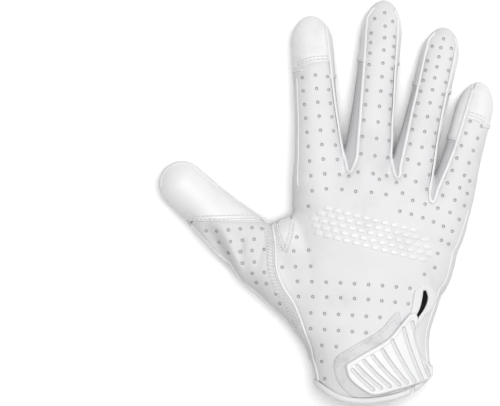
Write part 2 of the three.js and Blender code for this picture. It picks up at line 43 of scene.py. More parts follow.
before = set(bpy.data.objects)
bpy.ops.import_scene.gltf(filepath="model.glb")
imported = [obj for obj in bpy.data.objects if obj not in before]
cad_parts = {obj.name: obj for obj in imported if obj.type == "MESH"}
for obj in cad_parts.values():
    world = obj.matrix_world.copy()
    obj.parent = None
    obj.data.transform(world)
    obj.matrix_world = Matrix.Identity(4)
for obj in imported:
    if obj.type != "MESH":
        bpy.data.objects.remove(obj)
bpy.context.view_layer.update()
MM = 0.001

# The lower left corner and the spans of the plan rectangle that holds the glove
PLAN_LOW = (-128.0, -76.0)
PLAN_SPAN = (206.0, 246.0)

# The hand: sections by share of its length, their left and right in shares of the palm's width,
# their top and bottom in shares of its height
PALM_WIDTH = 100.0
PALM_HEIGHT = 36.0
WRIST_Y = -70.0
HAND_LENGTH = 136.0
HAND_ROUNDNESS = 2.3
HAND_SECTIONS = [
    (0.0, -0.318, 0.33, 1.05, -0.02), (0.14, -0.316, 0.332, 1.04, -0.02), (0.25, -0.355, 0.316, 1.0, -0.035),
    (0.353, -0.44, 0.325, 0.98, -0.04), (0.47, -0.475, 0.382, 0.97, -0.045),
    (0.576, -0.478, 0.445, 0.96, -0.045), (0.718, -0.463, 0.478, 0.94, -0.02),
    (0.831, -0.448, 0.505, 0.91, 0.03), (0.92, -0.435, 0.515, 0.86, 0.1), (0.97, -0.41, 0.5, 0.79, 0.18),
    (1.0, -0.35, 0.45, 0.66, 0.32),
]
KNUCKLE_DROP = 22.0
KNUCKLE_DROP_FROM = -10.0
KNUCKLE_DROP_SPAN = 60.0

# Fingers and thumb: root x and y, lean in degrees, length, width, depth, length of the round tip
KNUCKLE_HEIGHT = 18.0
THUMB_HEIGHT = 13.5
DIGITS = {
    "index": (-26.8, 40, -3.8, 113.2, 23.6, 19, 15),
    "middle": (-6.2, 40, 6.5, 122.5, 23.2, 20, 20),
    "ring": (14.7, 36, 13.9, 113.6, 21.8, 19, 17),
    "little": (37.9, 30, 15.6, 89, 21.2, 17, 18),
    "thumb": (-29.4, -12.2, -47.4, 117.5, 32, 26, 13),
    "web": (-36, 2, -25, 40, 21, 23, 9),
}
# Sections by share of length: shares of width, of depth and of the root's height
FINGER_SECTIONS = [
    (0.0, 0.9, 1.04, 1.0), (0.23, 1.19, 1.12, 1.02), (0.33, 1.15, 1.08, 1.0), (0.46, 1.05, 1.03, 0.95),
    (0.65, 0.99, 0.99, 0.81), (0.84, 0.99, 0.93, 0.6), (1.0, 0.94, 0.86, 0.46),
]
THUMB_SECTIONS = [
    (0.0, 1.0, 0.95, 1.15), (0.25, 1.07, 1.02, 1.08), (0.45, 1.05, 1.02, 1.0), (0.57, 0.98, 0.97, 0.92),
    (0.7, 0.88, 0.9, 0.85), (0.85, 0.83, 0.84, 0.79), (1.0, 0.79, 0.78, 0.74),
]
WEB_SECTIONS = [(0.0, 0.9, 0.9, 1.25), (0.5, 1.0, 1.0, 1.25), (1.0, 0.95, 0.9, 1.2)]

# The back strip's reach to both sides of a finger, in shares of its half width at these shares of its length
REACH_AT = (0.25, 0.55, 0.9)
REACH = {
    "index": (None, (0.94, 0.83, 0.71)),
    "middle": ((0.42, 0.61, 0.76), (0.93, 0.87, 0.72)),
    "ring": ((0.5, 0.69, 0.74), (0.86, 0.76, 0.71)),
    "little": ((0.66, 0.48, 0.36), None),
}

# The lowest point of the seam in each crotch
CROTCH_SEAMS = {
    ("index", "middle"): (-12.9, 64.0), ("middle", "ring"): (13.5, 61.0), ("ring", "little"): (33.0, 47.5),
}

# Caps: length, the side that the back strip is on and how far the seam drops across the finger,
# and how far down from the cap's start its seams to the palm are
CAP_LENGTH = {"index": 26.5, "little": 21.5}
CAP_SEAMS = {"index": (1, 4.6), "little": (-1, 3.4)}
CAP_SIDE_SEAMS = {"index": (4.05,), "little": (1.1, 2.4)}

# The bands round the fingertips, the seam between back and palm, and how far below a finger's axis it is
TIP_WRAP = 35.0
SEAM_HEIGHT = 15.5
SEAM_DROP = 2.5

# Plan lines of the thumb's seam, the web insert, the thumb's cap and the cuff
THUMB_SEAM = [
    (-44, -80), (-38, -56), (-34.8, -45), (-33.4, -36.5), (-38.1, -22.4), (-43.7, -8), (-50, 2),
    (-53.3, 11.2), (-54, 23.7), (-55.7, 37),
]
WEB_INSERT = [(-54, 45), (-45.5, 50), (-45.2, 33), (-48.7, 20.7), (-52.2, 31)]
THUMB_CAP_Y = 38.0
THUMB_CAP_RIGHT = -48.0
THUMB_CAP_FOOT = -52.0
CUFF_EDGE = [
    (-90, -40), (-34, -53), (-29, -56), (-21, -60.5), (-10, -62.7), (5, -61.8), (19, -58.2), (29, -52),
    (34.5, -45.5), (90, 10),
]
CUFF_BAND = 3.6

# The vent: how far down, across, half width of the slit and of its binding, as the part's own table has them
VENT = (28.4, -0.6, 70.0, 13.4)
VENT_SECTIONS = [
    (-0.038, 0.0, 0.0, 0.08), (-0.025, 0.0, 0.0, 0.26), (0.0, 0.0, 0.05, 0.42), (0.06, 0.02, 0.11, 0.5),
    (0.14, -0.1, 0.09, 0.45), (0.22, -0.35, 0.05, 0.3), (0.3, -0.52, 0.04, 0.25), (0.5, -0.62, 0.04, 0.25),
    (0.7, -0.55, 0.04, 0.25), (1.1, -0.4, 0.04, 0.25),
]

# The strap tab: its outline and channels in shares of its length and height from its lower corner
TAB = (-15.4, -57.5, 48.8, 44.8)
TAB_OUTLINE = [
    (0.0, 0.33), (0.0, 0.37), (0.06, 0.415), (0.22, 0.52), (0.37, 0.61), (0.49, 0.7), (0.62, 0.86),
    (0.74, 0.995), (0.8, 0.98), (0.818, 0.9), (0.79, 0.79), (0.795, 0.64), (0.84, 0.51), (0.93, 0.38),
    (0.995, 0.3), (0.975, 0.21), (0.82, 0.14), (0.6, 0.07), (0.32, 0.0), (0.25, 0.02), (0.04, 0.2),
]
TAB_CHANNELS = [
    ((0.07, 0.308), (0.176, 0.179), (0.301, 0.071)), ((0.125, 0.355), (0.246, 0.21), (0.389, 0.092)),
    ((0.203, 0.415), (0.332, 0.248), (0.488, 0.112)), ((0.301, 0.475), (0.434, 0.283), (0.598, 0.129)),
    ((0.41, 0.547), (0.531, 0.33), (0.684, 0.152)), ((0.52, 0.667), (0.629, 0.393), (0.773, 0.165)),
    ((0.652, 0.81), (0.736, 0.475), (0.861, 0.187)), ((0.752, 0.884), (0.822, 0.533), (0.939, 0.237)),
]
TAB_CLEAR = 1.5
TAB_THICK = 2.4
TAB_RIM = 0.35
PATCH_MARGIN = 6.4
PATCH_RIGHT = 0.62

# The gap between neighbouring pieces, and how far inside the outline a panel turns down
GAP = 0.05
INSET = 2.0

# Radii of the raised edges across a finger and down its side, and of the overlocking's rungs,
# and the foot of the thumb's seam in plan
CROSS_EDGE = 0.62
SIDE_EDGE = 0.8
RUNG_RADIUS = 0.34
THUMB_SEAM_FOOT = (-31.6, -38.2)

# Tapes and patch, from the hand's own form: middle height and half thickness, and the patch's two heights
CUFF_TAPE = (-0.35, 1.25)
VENT_TAPE = (0.1, 1.0)
PATCH_HEIGHTS = (0.15, 1.15)

# Perforations: sides, and the radii of their rolled edge, rim, floor and the floor's middle
HOLE_SIDES = 10
HOLE_RADII = (1.2, 0.98, 0.78, 0.38)

# The thumb gusset's perforations: the first one, the steps across and up, and how far rows shift and climb
GUSSET_HOLE = (-100.0, -46.0)
GUSSET_STEPS = (6.6, 6.4)
GUSSET_SHIFT = 1.2
GUSSET_CLIMB = 0.7

# The raised print: its zone and middle, half sizes of a tile, steps along and between rows, and how far
# the rows slant and the tiles lean, in degrees
PRINT_ZONE = [(-38.5, 36.5), (-27, 50.5), (20, 38.5), (34.5, 28.5), (32, 11.5), (-32, 27.5)]
PRINT_MIDDLE = (-1.5, 31.5)
TILE_HALF = (2.1, 1.3)
TILE_STEPS = (5.4, 3.7)
PRINT_SLANT = -14.0
TILE_LEAN = 22.0

# What the picture takes in, in metres: its middle, its width at the glove's height, and that height
PICTURE_MIDDLE = (-0.0681, 0.0479)
PICTURE_WIDTH = 0.28
PICTURE_HEIGHT = 0.012

# Folds in the leather: both ends, width, depth (below zero a ridge)
FOLDS = [
    (-91.5, 35, -76, 6, 3.2, 3.8), (-83.5, 34, -71.5, 5, 2.4, -1.3), (-76, 32, -72, 18, 2.6, 0.6),
    (-71, 30, -74, 19, 1.8, 0.7), (-61, 29, -64.5, 11, 2.2, 1.0), (-69, 5, -40, -32, 4.0, 1.6),
    (-60, -2, -48, -22, 2.4, -0.7), (-50, 44, -22, 41, 3.0, 0.5), (-10, 50, 10, 47, 3.5, 0.4),
    (20, 30, 44, 22, 4.0, 0.4), (-30, -8, -4, -14, 5.0, 0.35), (31, 17, 38, -6, 3.0, 1.1),
]

# Columns of perforations down the fingers: three places on a curve, and how many
PERFORATIONS = [
    (-31.9, 119.0, -29.1, 88.2, -26.0, 55.7, 9), (-39.5, 117.6, -36.7, 87.1, -33.9, 54.6, 9),
    (-42.3, 76.7, -40.6, 60.5, -39.5, 45.4, 5), (-24.9, 118.2, -21.6, 87.9, -17.4, 55.4, 9),
    (7.8, 158.5, 4.8, 114.0, -1.1, 53.8, 14), (-0.3, 151.8, -3.1, 114.2, -9.8, 54.3, 14),
    (14.3, 150.1, 11.2, 111.7, 7.0, 52.6, 14), (40.3, 143.4, 32.5, 107.2, 21.8, 49.3, 14),
    (31.4, 136.6, 23.8, 100.0, 14.6, 43.4, 14), (45.4, 134.4, 37.0, 93.8, 28.8, 47.3, 13),
    (54.3, 93.5, 45.2, 69.4, 35.8, 45.1, 8), (61.0, 90.7, 52.1, 66.6, 42.6, 42.6, 8),
    (58.2, 66.6, 54.3, 56.3, 51.0, 46.2, 4),
]
# Rows of perforations over the hand, the same way
HAND_PERFORATIONS = [
    (-34.3, 62.7, -9.4, 62.8, 22.7, 57.1, 8), (-33.8, 54.7, 10.9, 51.8, 47.9, 38.6, 12),
    (14.0, 43.4, 30.5, 38.6, 44.0, 32.2, 6), (-42.4, 76.6, -40.0, 48.7, -44.0, 21.3, 8),
    (37.8, 27.2, 35.8, 19.9, 34.2, 12.0, 3), (42.3, 24.6, 40.6, 17.4, 38.4, 9.8, 3),
    (28.3, 8.4, 28.3, 8.4, 28.3, 8.4, 1), (-35.8, 21.8, -35.3, 17.4, -34.7, 12.9, 2),
    (-50.4, 12.3, -47.0, 12.4, -43.1, 12.6, 2), (-42.0, 4.5, -10.6, 3.4, 20.2, 0.8, 9),
    (-41.4, -3.9, -10.6, -4.8, 19.3, -7.8, 9), (-34.7, -12.9, -11.8, -14.0, 11.2, -16.0, 7),
    (-34.7, -21.6, -15.7, -22.7, 3.4, -24.4, 6), (-28.6, -30.8, -20.7, -31.4, -12.9, -32.8, 3),
    (-28.6, -39.8, -25.2, -40.3, -21.3, -41.2, 2), (-26.9, -49.3, -26.9, -49.3, -26.9, -49.3, 1),
]


# The form

def eased(rows):
    """A table's columns, eased from row to row and laid out on a fine scale."""
    rows = np.array(rows, float)
    alongs = rows[:, 0]
    last = len(rows) - 1
    slopes = np.empty_like(rows)
    slopes[1:-1] = (rows[2:] - rows[:-2]) / (alongs[2:] - alongs[:-2])[:, None]
    slopes[0] = (rows[1] - rows[0]) / (alongs[1] - alongs[0])
    slopes[-1] = (rows[-1] - rows[-2]) / (alongs[-1] - alongs[-2])
    fine = np.linspace(alongs[0], alongs[-1], 400)
    i = np.clip(np.searchsorted(alongs, fine, side="right") - 1, 0, last - 1)
    span = (alongs[i + 1] - alongs[i])[:, None]
    t = (fine - alongs[i])[:, None] / span
    values = (rows[i] + (rows[i + 1] - rows[i]) * (3 * t**2 - 2 * t**3)
              + span * (slopes[i] * (t**3 - 2 * t**2 + t) + slopes[i + 1] * (t**3 - t**2)))
    return fine, values[:, 1:].T


def smooth_min(a, b, width):
    """The lesser of two fields, with their crossing rounded over a width."""
    share = np.maximum(width - np.abs(a - b), 0) / width
    return np.minimum(a, b) - share * share * width * 0.25


def smooth_max(a, b, width):
    """The greater of two fields, with their crossing rounded over a width."""
    return -smooth_min(-a, -b, width)


def smoothstep(value, low, high):
    """A soft step from nought to one between two values."""
    t = np.clip((value - low) / (high - low), 0, 1)
    return t * t * (3 - 2 * t)


class Digit:
    """A finger, the thumb or its web: a straight axis with eased round sections and a round tip."""

    def __init__(self, name, sections, height, roundness=2.1):
        self.x, self.y, lean, self.length, self.width, self.depth, self.tip = DIGITS[name]
        lean = math.radians(lean)
        self.forward = np.array([math.sin(lean), math.cos(lean)])
        self.across = np.array([math.cos(lean), -math.sin(lean)])
        self.dome = self.length - self.tip
        self.height = height
        self.roundness = roundness
        self.scale, (self.widths, self.depths, self.rises) = eased(sections)

    def place(self, x, y):
        """How far along the axis and across it a plan point is."""
        dx, dy = x - self.x, y - self.y
        return dx * self.forward[0] + dy * self.forward[1], dx * self.across[0] + dy * self.across[1]

    def plan(self, along, across):
        """The plan point at a distance along the axis and across it."""
        return (self.x + along * self.forward[0] + across * self.across[0],
                self.y + along * self.forward[1] + across * self.across[1])

    def section(self, along):
        """Half width, half depth and height of the axis at a distance along it."""
        share = np.clip(along / self.length, 0, 1)
        return (np.interp(share, self.scale, self.widths) * self.width / 2,
                np.interp(share, self.scale, self.depths) * self.depth / 2,
                np.interp(share, self.scale, self.rises) * self.height)

    def field(self, x, y, z):
        """The digit's own field in millimetres, below zero inside."""
        along, across = self.place(x, y)
        half_width, half_depth, height = self.section(along)
        n = self.roundness
        round_part = (np.abs(across / half_width) ** n + np.abs((z - height) / half_depth) ** n) ** (2 / n)
        end = np.maximum(along - self.dome, 0) / self.tip + np.maximum(-along, 0) / 9
        return (np.sqrt(round_part + end * end) - 1) * np.minimum(half_width, half_depth)


FINGERS = {name: Digit(name, FINGER_SECTIONS, KNUCKLE_HEIGHT) for name in REACH}
THUMB = Digit("thumb", THUMB_SECTIONS, THUMB_HEIGHT)
WEB = Digit("web", WEB_SECTIONS, THUMB_HEIGHT)
HAND_SCALE, HAND_COLUMNS = eased(HAND_SECTIONS)


def hand_along(x, y):
    """The share of the hand's length at a plan point, with the line of knuckles falling back."""
    drop = KNUCKLE_DROP * np.clip((x - KNUCKLE_DROP_FROM) / KNUCKLE_DROP_SPAN, 0, 1.15) ** 2 / HAND_LENGTH
    plain = (y - WRIST_Y) / HAND_LENGTH
    along = plain
    for _ in range(9):
        along = plain + smoothstep(along, 0.55, 1) * drop
    return along


def hand(x, y, z):
    """The hand's own field in millimetres."""
    along = hand_along(x, y)
    left, right, top, bottom = (np.interp(along, HAND_SCALE, column) for column in HAND_COLUMNS)
    half_width = (right - left) * PALM_WIDTH / 2
    half_height = (top - bottom) * PALM_HEIGHT / 2
    across = (x - (left + right) * PALM_WIDTH / 2) / half_width
    up = (z - (top + bottom) * PALM_HEIGHT / 2) / half_height
    n = HAND_ROUNDNESS
    end = np.maximum(along - 1, 0) * HAND_LENGTH / 7
    return (np.sqrt((np.abs(across) ** n + np.abs(up) ** n) ** (2 / n) + end * end) - 1) * half_height


def relief(x, y):
    """How far the folds draw the leather in at a plan point."""
    total = 0.12 * np.sin(x * 0.19 + y * 0.11) * np.sin(y * 0.16 - x * 0.07 + 1.0)
    for x0, y0, x1, y1, width, depth in FOLDS:
        dx, dy = x1 - x0, y1 - y0
        t = np.clip(((x - x0) * dx + (y - y0) * dy) / (dx * dx + dy * dy), 0, 1)
        off = (x - x0 - t * dx) ** 2 + (y - y0 - t * dy) ** 2
        total = total + depth * np.exp(-off / width**2) * np.sin(math.pi * (0.12 + 0.76 * t))
    return total


def glove(x, y, z):
    """The whole glove's outer form, in millimetres from its surface."""
    fingers = None
    for finger in FINGERS.values():
        one = finger.field(x, y, z)
        fingers = one if fingers is None else smooth_min(fingers, one, 1.0)
    thumb = smooth_min(THUMB.field(x, y, z), WEB.field(x, y, z), 4.0)
    whole = smooth_min(hand(x, y, z), smooth_min(fingers, thumb, 2.0), 4.0)
    return whole + relief(x, y) * smoothstep(z, 10, 20)


def seam_height(x, y):
    """The height of the seam that joins the back and the palm."""
    best = np.full(np.shape(x), 1.6)
    height = np.full(np.shape(x), SEAM_HEIGHT)
    for finger in FINGERS.values():
        along, across = finger.place(x, y)
        half_width, _, rise = finger.section(along)
        off = np.abs(across) / half_width
        near = (along > 0) & (off < best)
        best = np.where(near, off, best)
        height = np.where(near, rise - SEAM_DROP, height)
    return height


def gradient(field, points):
    """The field's slope at points, scaled to one."""
    step = 0.03
    x, y, z = points.T
    slope = np.stack([
        field(x + step, y, z) - field(x - step, y, z),
        field(x, y + step, z) - field(x, y - step, z),
        field(x, y, z + step) - field(x, y, z - step),
    ], axis=1)
    return slope / (2 * step)


def unit(vectors):
    """Vectors scaled to length one."""
    return vectors / np.maximum(np.linalg.norm(vectors, axis=1, keepdims=True), 1e-9)


def plan_slope(field, x, y, step):
    """The direction in plan in which a field grows."""
    return unit(np.column_stack([field(x + step, y) - field(x - step, y),
                                 field(x, y + step) - field(x, y - step)]))


def outwards_hit(field, starts, directions, reach=70.0):
    """Where rays that start inside the form leave it."""
    low = np.zeros(len(starts))
    high = np.full(len(starts), np.nan)
    step = 1.5
    for i in range(1, int(reach / step) + 1):
        at = starts + directions * (i * step)
        outside = (field(*at.T) > 0) & np.isnan(high)
        high[outside] = i * step
        low[outside] = (i - 1) * step
        if not np.isnan(high).any():
            break
    high = np.where(np.isnan(high), reach, high)
    for _ in range(11):
        middle = (low + high) / 2
        inside = field(*(starts + directions * middle[:, None]).T) < 0
        low = np.where(inside, middle, low)
        high = np.where(inside, high, middle)
    return starts + directions * ((low + high) / 2)[:, None]


def on_top(plan, field=glove):
    """The highest points of a form over plan points that lie inside its outline."""
    x, y = plan[:, 0], plan[:, 1]
    found = np.full(len(plan), np.nan)
    z = 46.0
    above = np.full(len(plan), z)
    while z > 0:
        z -= 1.5
        inside = (field(x, y, np.full(len(plan), z)) < 0) & np.isnan(found)
        found[inside] = z
        above[inside] = z + 1.5
        if not np.isnan(found).any():
            break
    found = np.where(np.isnan(found), 0.5, found)
    for _ in range(11):
        middle = (found + above) / 2
        inside = field(x, y, middle) < 0
        found = np.where(inside, middle, found)
        above = np.where(inside, above, middle)
    return np.column_stack([x, y, (found + above) / 2])


def blend(first, second, start, end, t):
    """A mix of two points or runs that goes from the first at one knot to the second at another."""
    return (end - t) / (end - start) * first + (t - start) / (end - start) * second


def curve(points, spacing=1.2, closed=False):
    """A smooth curve through plan points, as evenly spaced points."""
    points = np.array(points, float)
    if closed:
        ring = np.vstack([points[-1], points, points[0], points[1]])
    else:
        ring = np.vstack([2 * points[0] - points[1], points, 2 * points[-1] - points[-2]])
    found = []
    for a, b, c, d in zip(ring[:-3], ring[1:-2], ring[2:-1], ring[3:]):
        knots = [0.0]
        for p, q in ((a, b), (b, c), (c, d)):
            knots.append(knots[-1] + max(np.linalg.norm(q - p), 1e-6) ** 0.5)
        count = max(2, int(np.linalg.norm(c - b) / spacing * 4))
        t = np.linspace(knots[1], knots[2], count, endpoint=False)[:, None]
        a1 = blend(a, b, knots[0], knots[1], t)
        a2 = blend(b, c, knots[1], knots[2], t)
        a3 = blend(c, d, knots[2], knots[3], t)
        b1 = blend(a1, a2, knots[0], knots[2], t)
        b2 = blend(a2, a3, knots[1], knots[3], t)
        found.append(blend(b1, b2, knots[1], knots[2], t))
    found = np.vstack(found + ([found[0][:1]] if closed else [points[-1:]]))
    return evenly(found, spacing)[:-1] if closed else evenly(found, spacing)


def evenly(points, spacing):
    """A run of points laid out again at even steps."""
    lengths = np.concatenate([[0], np.cumsum(np.linalg.norm(np.diff(points, axis=0), axis=1))])
    count = max(2, int(round(lengths[-1] / spacing)) + 1)
    at = np.linspace(0, lengths[-1], count)
    return np.column_stack([np.interp(at, lengths, column) for column in points.T])


class Region:
    """A closed plan outline as a grid of distances, below zero inside."""

    def __init__(self, outline, cell=0.5, margin=6.0):
        outline = np.array(outline, float)
        self.low = outline.min(0) - margin
        self.cell = cell
        self.count = np.ceil((outline.max(0) + margin - self.low) / cell).astype(int) + 1
        xs, ys = (self.low[i] + cell * np.arange(self.count[i]) for i in (0, 1))
        x, y = np.meshgrid(xs, ys, indexing="ij")
        nearest = np.full(x.shape, 1e9)
        inside = np.zeros(x.shape, bool)
        for (x0, y0), (x1, y1) in zip(outline, np.roll(outline, -1, axis=0)):
            dx, dy = x1 - x0, y1 - y0
            t = np.clip(((x - x0) * dx + (y - y0) * dy) / max(dx * dx + dy * dy, 1e-12), 0, 1)
            nearest = np.minimum(nearest, (x - x0 - t * dx) ** 2 + (y - y0 - t * dy) ** 2)
            if y0 != y1:
                inside ^= ((y0 > y) != (y1 > y)) & (x < x0 + (y - y0) * dx / dy)
        self.values = np.where(inside, -1, 1) * np.sqrt(nearest)

    def __call__(self, x, y):
        u = (x - self.low[0]) / self.cell
        v = (y - self.low[1]) / self.cell
        cu, cv = np.clip(u, 0, self.count[0] - 1.001), np.clip(v, 0, self.count[1] - 1.001)
        i, j = cu.astype(int), cv.astype(int)
        s, t = cu - i, cv - j
        w = self.values
        inner = (w[i, j] * (1 - s) * (1 - t) + w[i + 1, j] * s * (1 - t)
                 + w[i, j + 1] * (1 - s) * t + w[i + 1, j + 1] * s * t)
        return inner + np.hypot(u - cu, v - cv) * self.cell


# Meshes

def net(field, low, high, cell, rounds=2):
    """A mesh of evenly sized quads where a field is zero inside a box."""
    counts = [int(math.ceil((b - a) / cell)) + 1 for a, b in zip(low, high)]
    axes = [a + cell * np.arange(n) for a, n in zip(low, counts)]
    skip = 4
    coarse = np.meshgrid(*[axis[::skip] for axis in axes], indexing="ij")
    rough = field(*[c.ravel() for c in coarse]).reshape(coarse[0].shape)
    index = [np.clip((np.arange(n) + skip // 2) // skip, 0, rough.shape[i] - 1) for i, n in enumerate(counts)]
    values = rough[np.ix_(*index)]
    near = np.nonzero(np.abs(values) < cell * skip * 1.6)
    values[near] = field(axes[0][near[0]], axes[1][near[1]], axes[2][near[2]])
    inside = values < 0
    nx, ny, nz = (n - 1 for n in counts)
    total = np.zeros((nx, ny, nz), np.int8)
    for i in (0, 1):
        for j in (0, 1):
            for k in (0, 1):
                total += inside[i:nx + i, j:ny + j, k:nz + k]
    active = (total > 0) & (total < 8)
    cells = np.argwhere(active)
    number = np.full(active.shape, -1)
    number[tuple(cells.T)] = np.arange(len(cells))
    place = np.zeros((len(cells), 3))
    crossings = np.zeros(len(cells))
    for axis in range(3):
        others = [a for a in range(3) if a != axis]
        for p in (0, 1):
            for q in (0, 1):
                start = np.zeros(3, int)
                start[others[0]], start[others[1]] = p, q
                end = start.copy()
                end[axis] = 1
                va = values[tuple((cells + start).T)]
                vb = values[tuple((cells + end).T)]
                cross = (va < 0) != (vb < 0)
                t = np.where(cross, va / np.where(cross, va - vb, 1), 0)
                spot = start + t[:, None] * (end - start)
                place += np.where(cross[:, None], spot, 0)
                crossings += cross
    points = np.array(low) + cell * (cells + place / crossings[:, None])
    quads = []
    for axis in range(3):
        a, b = (axis + 1) % 3, (axis + 2) % 3
        lower = [slice(1, None)] * 3
        lower[axis] = slice(None)
        first = [slice(0, n - 1) if i == axis else slice(1, n - 1) for i, n in enumerate(counts)]
        second = [slice(1, n) if i == axis else slice(1, n - 1) for i, n in enumerate(counts)]
        one, two = inside[tuple(first)], inside[tuple(second)]
        edges = np.argwhere(one != two)
        if not len(edges):
            continue
        going_out = one[tuple(edges.T)]
        here = edges + np.array([0 if i == axis else 1 for i in range(3)])
        da, db = np.eye(3, dtype=int)[a], np.eye(3, dtype=int)[b]
        ring = np.stack([number[tuple((here - da - db).T)], number[tuple((here - db).T)],
                         number[tuple(here.T)], number[tuple((here - da).T)]], axis=1)
        ring[~going_out] = ring[~going_out][:, ::-1]
        quads.append(ring)
    quads = np.vstack(quads)
    quads = quads[(quads >= 0).all(1)]
    for _ in range(rounds):
        points = relaxed(points, quads)
        for _ in range(2):
            slope = gradient(field, points)
            size = np.maximum((slope**2).sum(1), 0.15)
            move = field(*points.T) / size
            points = points - slope * np.clip(move, -cell, cell)[:, None]
    return points, quads


def relaxed(points, quads):
    """Each point moved halfway to the middle of its neighbours."""
    total = np.zeros_like(points)
    count = np.zeros(len(points))
    for i in range(4):
        a, b = quads[:, i], quads[:, (i + 1) % 4]
        for p, q in ((a, b), (b, a)):
            np.add.at(total, p, points[q])
            np.add.at(count, p, 1)
    middle = total / np.maximum(count, 1)[:, None]
    return np.where(count[:, None] > 0, (points + middle) / 2, points)


def size(name):
    """One of the sidebar's sizes in millimetres."""
    return round(getattr(bpy.context.scene.glove_sizes, name) / MM, 4)


def make_object(name, points, faces, looks, slots=None, node=None, finish=None):
    """A smooth mesh object in metres that rides with the glove, with one material or a list of them."""
    mesh = bpy.data.meshes.new(name)
    mesh.from_pydata((np.asarray(points) * MM).tolist(), [], [list(map(int, f)) for f in faces])
    mesh.validate()
    mesh.polygons.foreach_set("use_smooth", [True] * len(mesh.polygons))
    for one in looks if isinstance(looks, list) else [looks]:
        mesh.materials.append(one)
    if slots is not None and len(slots) == len(mesh.polygons):
        mesh.polygons.foreach_set("material_index", list(map(int, slots)))
    piece = bpy.data.objects.new(name, mesh)
    bpy.context.scene.collection.objects.link(piece)
    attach(piece, "root")
    if node:
        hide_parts(node)


def tube(path, radius, sides=8, closed=False, flat=1.0, normals=None):
    """A round or flattened tube along points, as points and quads."""
    path = np.asarray(path, float)
    count = len(path)
    ahead = np.roll(path, -1, axis=0) - np.roll(path, 1, axis=0)
    if not closed:
        ahead[0], ahead[-1] = path[1] - path[0], path[-1] - path[-2]
    ahead = unit(ahead)
    up = np.tile([0.0, 0.0, 1.0], (count, 1)) if normals is None else np.asarray(normals)
    side = unit(np.cross(ahead, up))
    up = unit(np.cross(side, ahead))
    angles = np.linspace(0, 2 * math.pi, sides, endpoint=False)
    radius = np.broadcast_to(radius, (count,))[:, None, None]
    rings = (path[:, None] + radius * (np.cos(angles)[None, :, None] * side[:, None]
             + flat * np.sin(angles)[None, :, None] * up[:, None]))
    points = rings.reshape(-1, 3)
    faces = []
    last = count if closed else count - 1
    for i in range(last):
        j = (i + 1) % count
        for k in range(sides):
            m = (k + 1) % sides
            faces.append((i * sides + k, i * sides + m, j * sides + m, j * sides + k))
    if not closed:
        faces.append(tuple(range(sides))[::-1])
        faces.append(tuple(range((count - 1) * sides, count * sides)))
    return points, faces


class Heap:
    """Many small meshes gathered into one."""

    def __init__(self):
        self.points, self.faces, self.count = [], [], 0

    def add(self, points, faces):
        """Takes in one small mesh."""
        self.points.append(np.asarray(points, float))
        self.faces.extend([tuple(i + self.count for i in f) for f in faces])
        self.count += len(points)

    def make(self, name, look, finish):
        """Makes one object of all that was taken in."""
        make_object(name, np.vstack(self.points), self.faces, look, finish=finish)


def contours(xs, ys, values):
    """Closed loops where a grid of values crosses zero."""
    inside = values < 0
    links = {}
    mixed = inside[:-1, :-1].astype(int) + inside[1:, :-1] + inside[:-1, 1:] + inside[1:, 1:]
    for i, j in np.argwhere((mixed > 0) & (mixed < 4)):
        edges = [(0, i, j), (1, i + 1, j), (0, i, j + 1), (1, i, j)]
        ends = [((i, j), (i + 1, j)), ((i + 1, j), (i + 1, j + 1)),
                ((i, j + 1), (i + 1, j + 1)), ((i, j), (i, j + 1))]
        crossed = [e for e, (a, b) in zip(edges, ends) if inside[a] != inside[b]]
        for a, b in zip(crossed[::2], crossed[1::2]):
            links.setdefault(a, []).append(b)
            links.setdefault(b, []).append(a)

    def place(edge):
        """Where a grid edge is crossed."""
        kind, i, j = edge
        k, m = (i + 1, j) if kind == 0 else (i, j + 1)
        t = values[i, j] / (values[i, j] - values[k, m])
        return xs[i] + t * (xs[k] - xs[i]), ys[j] + t * (ys[m] - ys[j])

    loops = []
    while links:
        start = next(iter(links))
        loop, here, before = [], start, None
        while here in links:
            loop.append(place(here))
            onward = [e for e in links.pop(here) if e != before and e in links]
            before, here = here, onward[0] if onward else None
        if len(loop) > 12:
            loops.append(np.array(loop))
    return loops


# Plan outlines and areas

def strip_side(name, side, start, end):
    """Plan points along one side of a finger's back strip, between two distances along the finger."""
    finger = FINGERS[name]
    along = np.linspace(start, end, max(2, int(abs(end - start) / 2.5)))
    half_width, _, _ = finger.section(along)
    reach = np.interp(along / finger.length, REACH_AT, REACH[name][0 if side < 0 else 1])
    return np.column_stack(finger.plan(along, side * reach * half_width))


def crotch_curve(left, right):
    """The seam from one fingertip's inner side down round the crotch and up the next finger."""
    one, two = FINGERS[left], FINGERS[right]
    x, y = CROTCH_SEAMS[left, right]
    down = strip_side(left, 1, one.length - CAP_LENGTH.get(left, 3), 0.27 * one.length)
    up = strip_side(right, -1, 0.27 * two.length, two.length - CAP_LENGTH.get(right, 3))
    return curve(np.vstack([down, [(x - 1.8, y + 2.4), (x, y), (x + 1.8, y + 2.4)], up]), 1.2)


def cap_seam(name):
    """The seam across a capped finger, from its strip's side to its outer side, where it drops."""
    finger = FINGERS[name]
    start = finger.length - CAP_LENGTH[name]
    side, drop = CAP_SEAMS[name]
    half = finger.section(start)[0]
    reach = np.interp(start / finger.length, REACH_AT, REACH[name][0 if side < 0 else 1]) * half
    share = np.linspace(0, 1, 16)
    across = side * (reach - share * (reach + half + 3))
    return np.column_stack(finger.plan(start - drop * np.maximum(share / 0.9 - 0.3, 0) ** 2 * 2, across))


def across_finger(name, along, left, right):
    """The two plan points across a finger at a distance along it."""
    finger = FINGERS[name]
    return [finger.plan(along, left), finger.plan(along, right)]


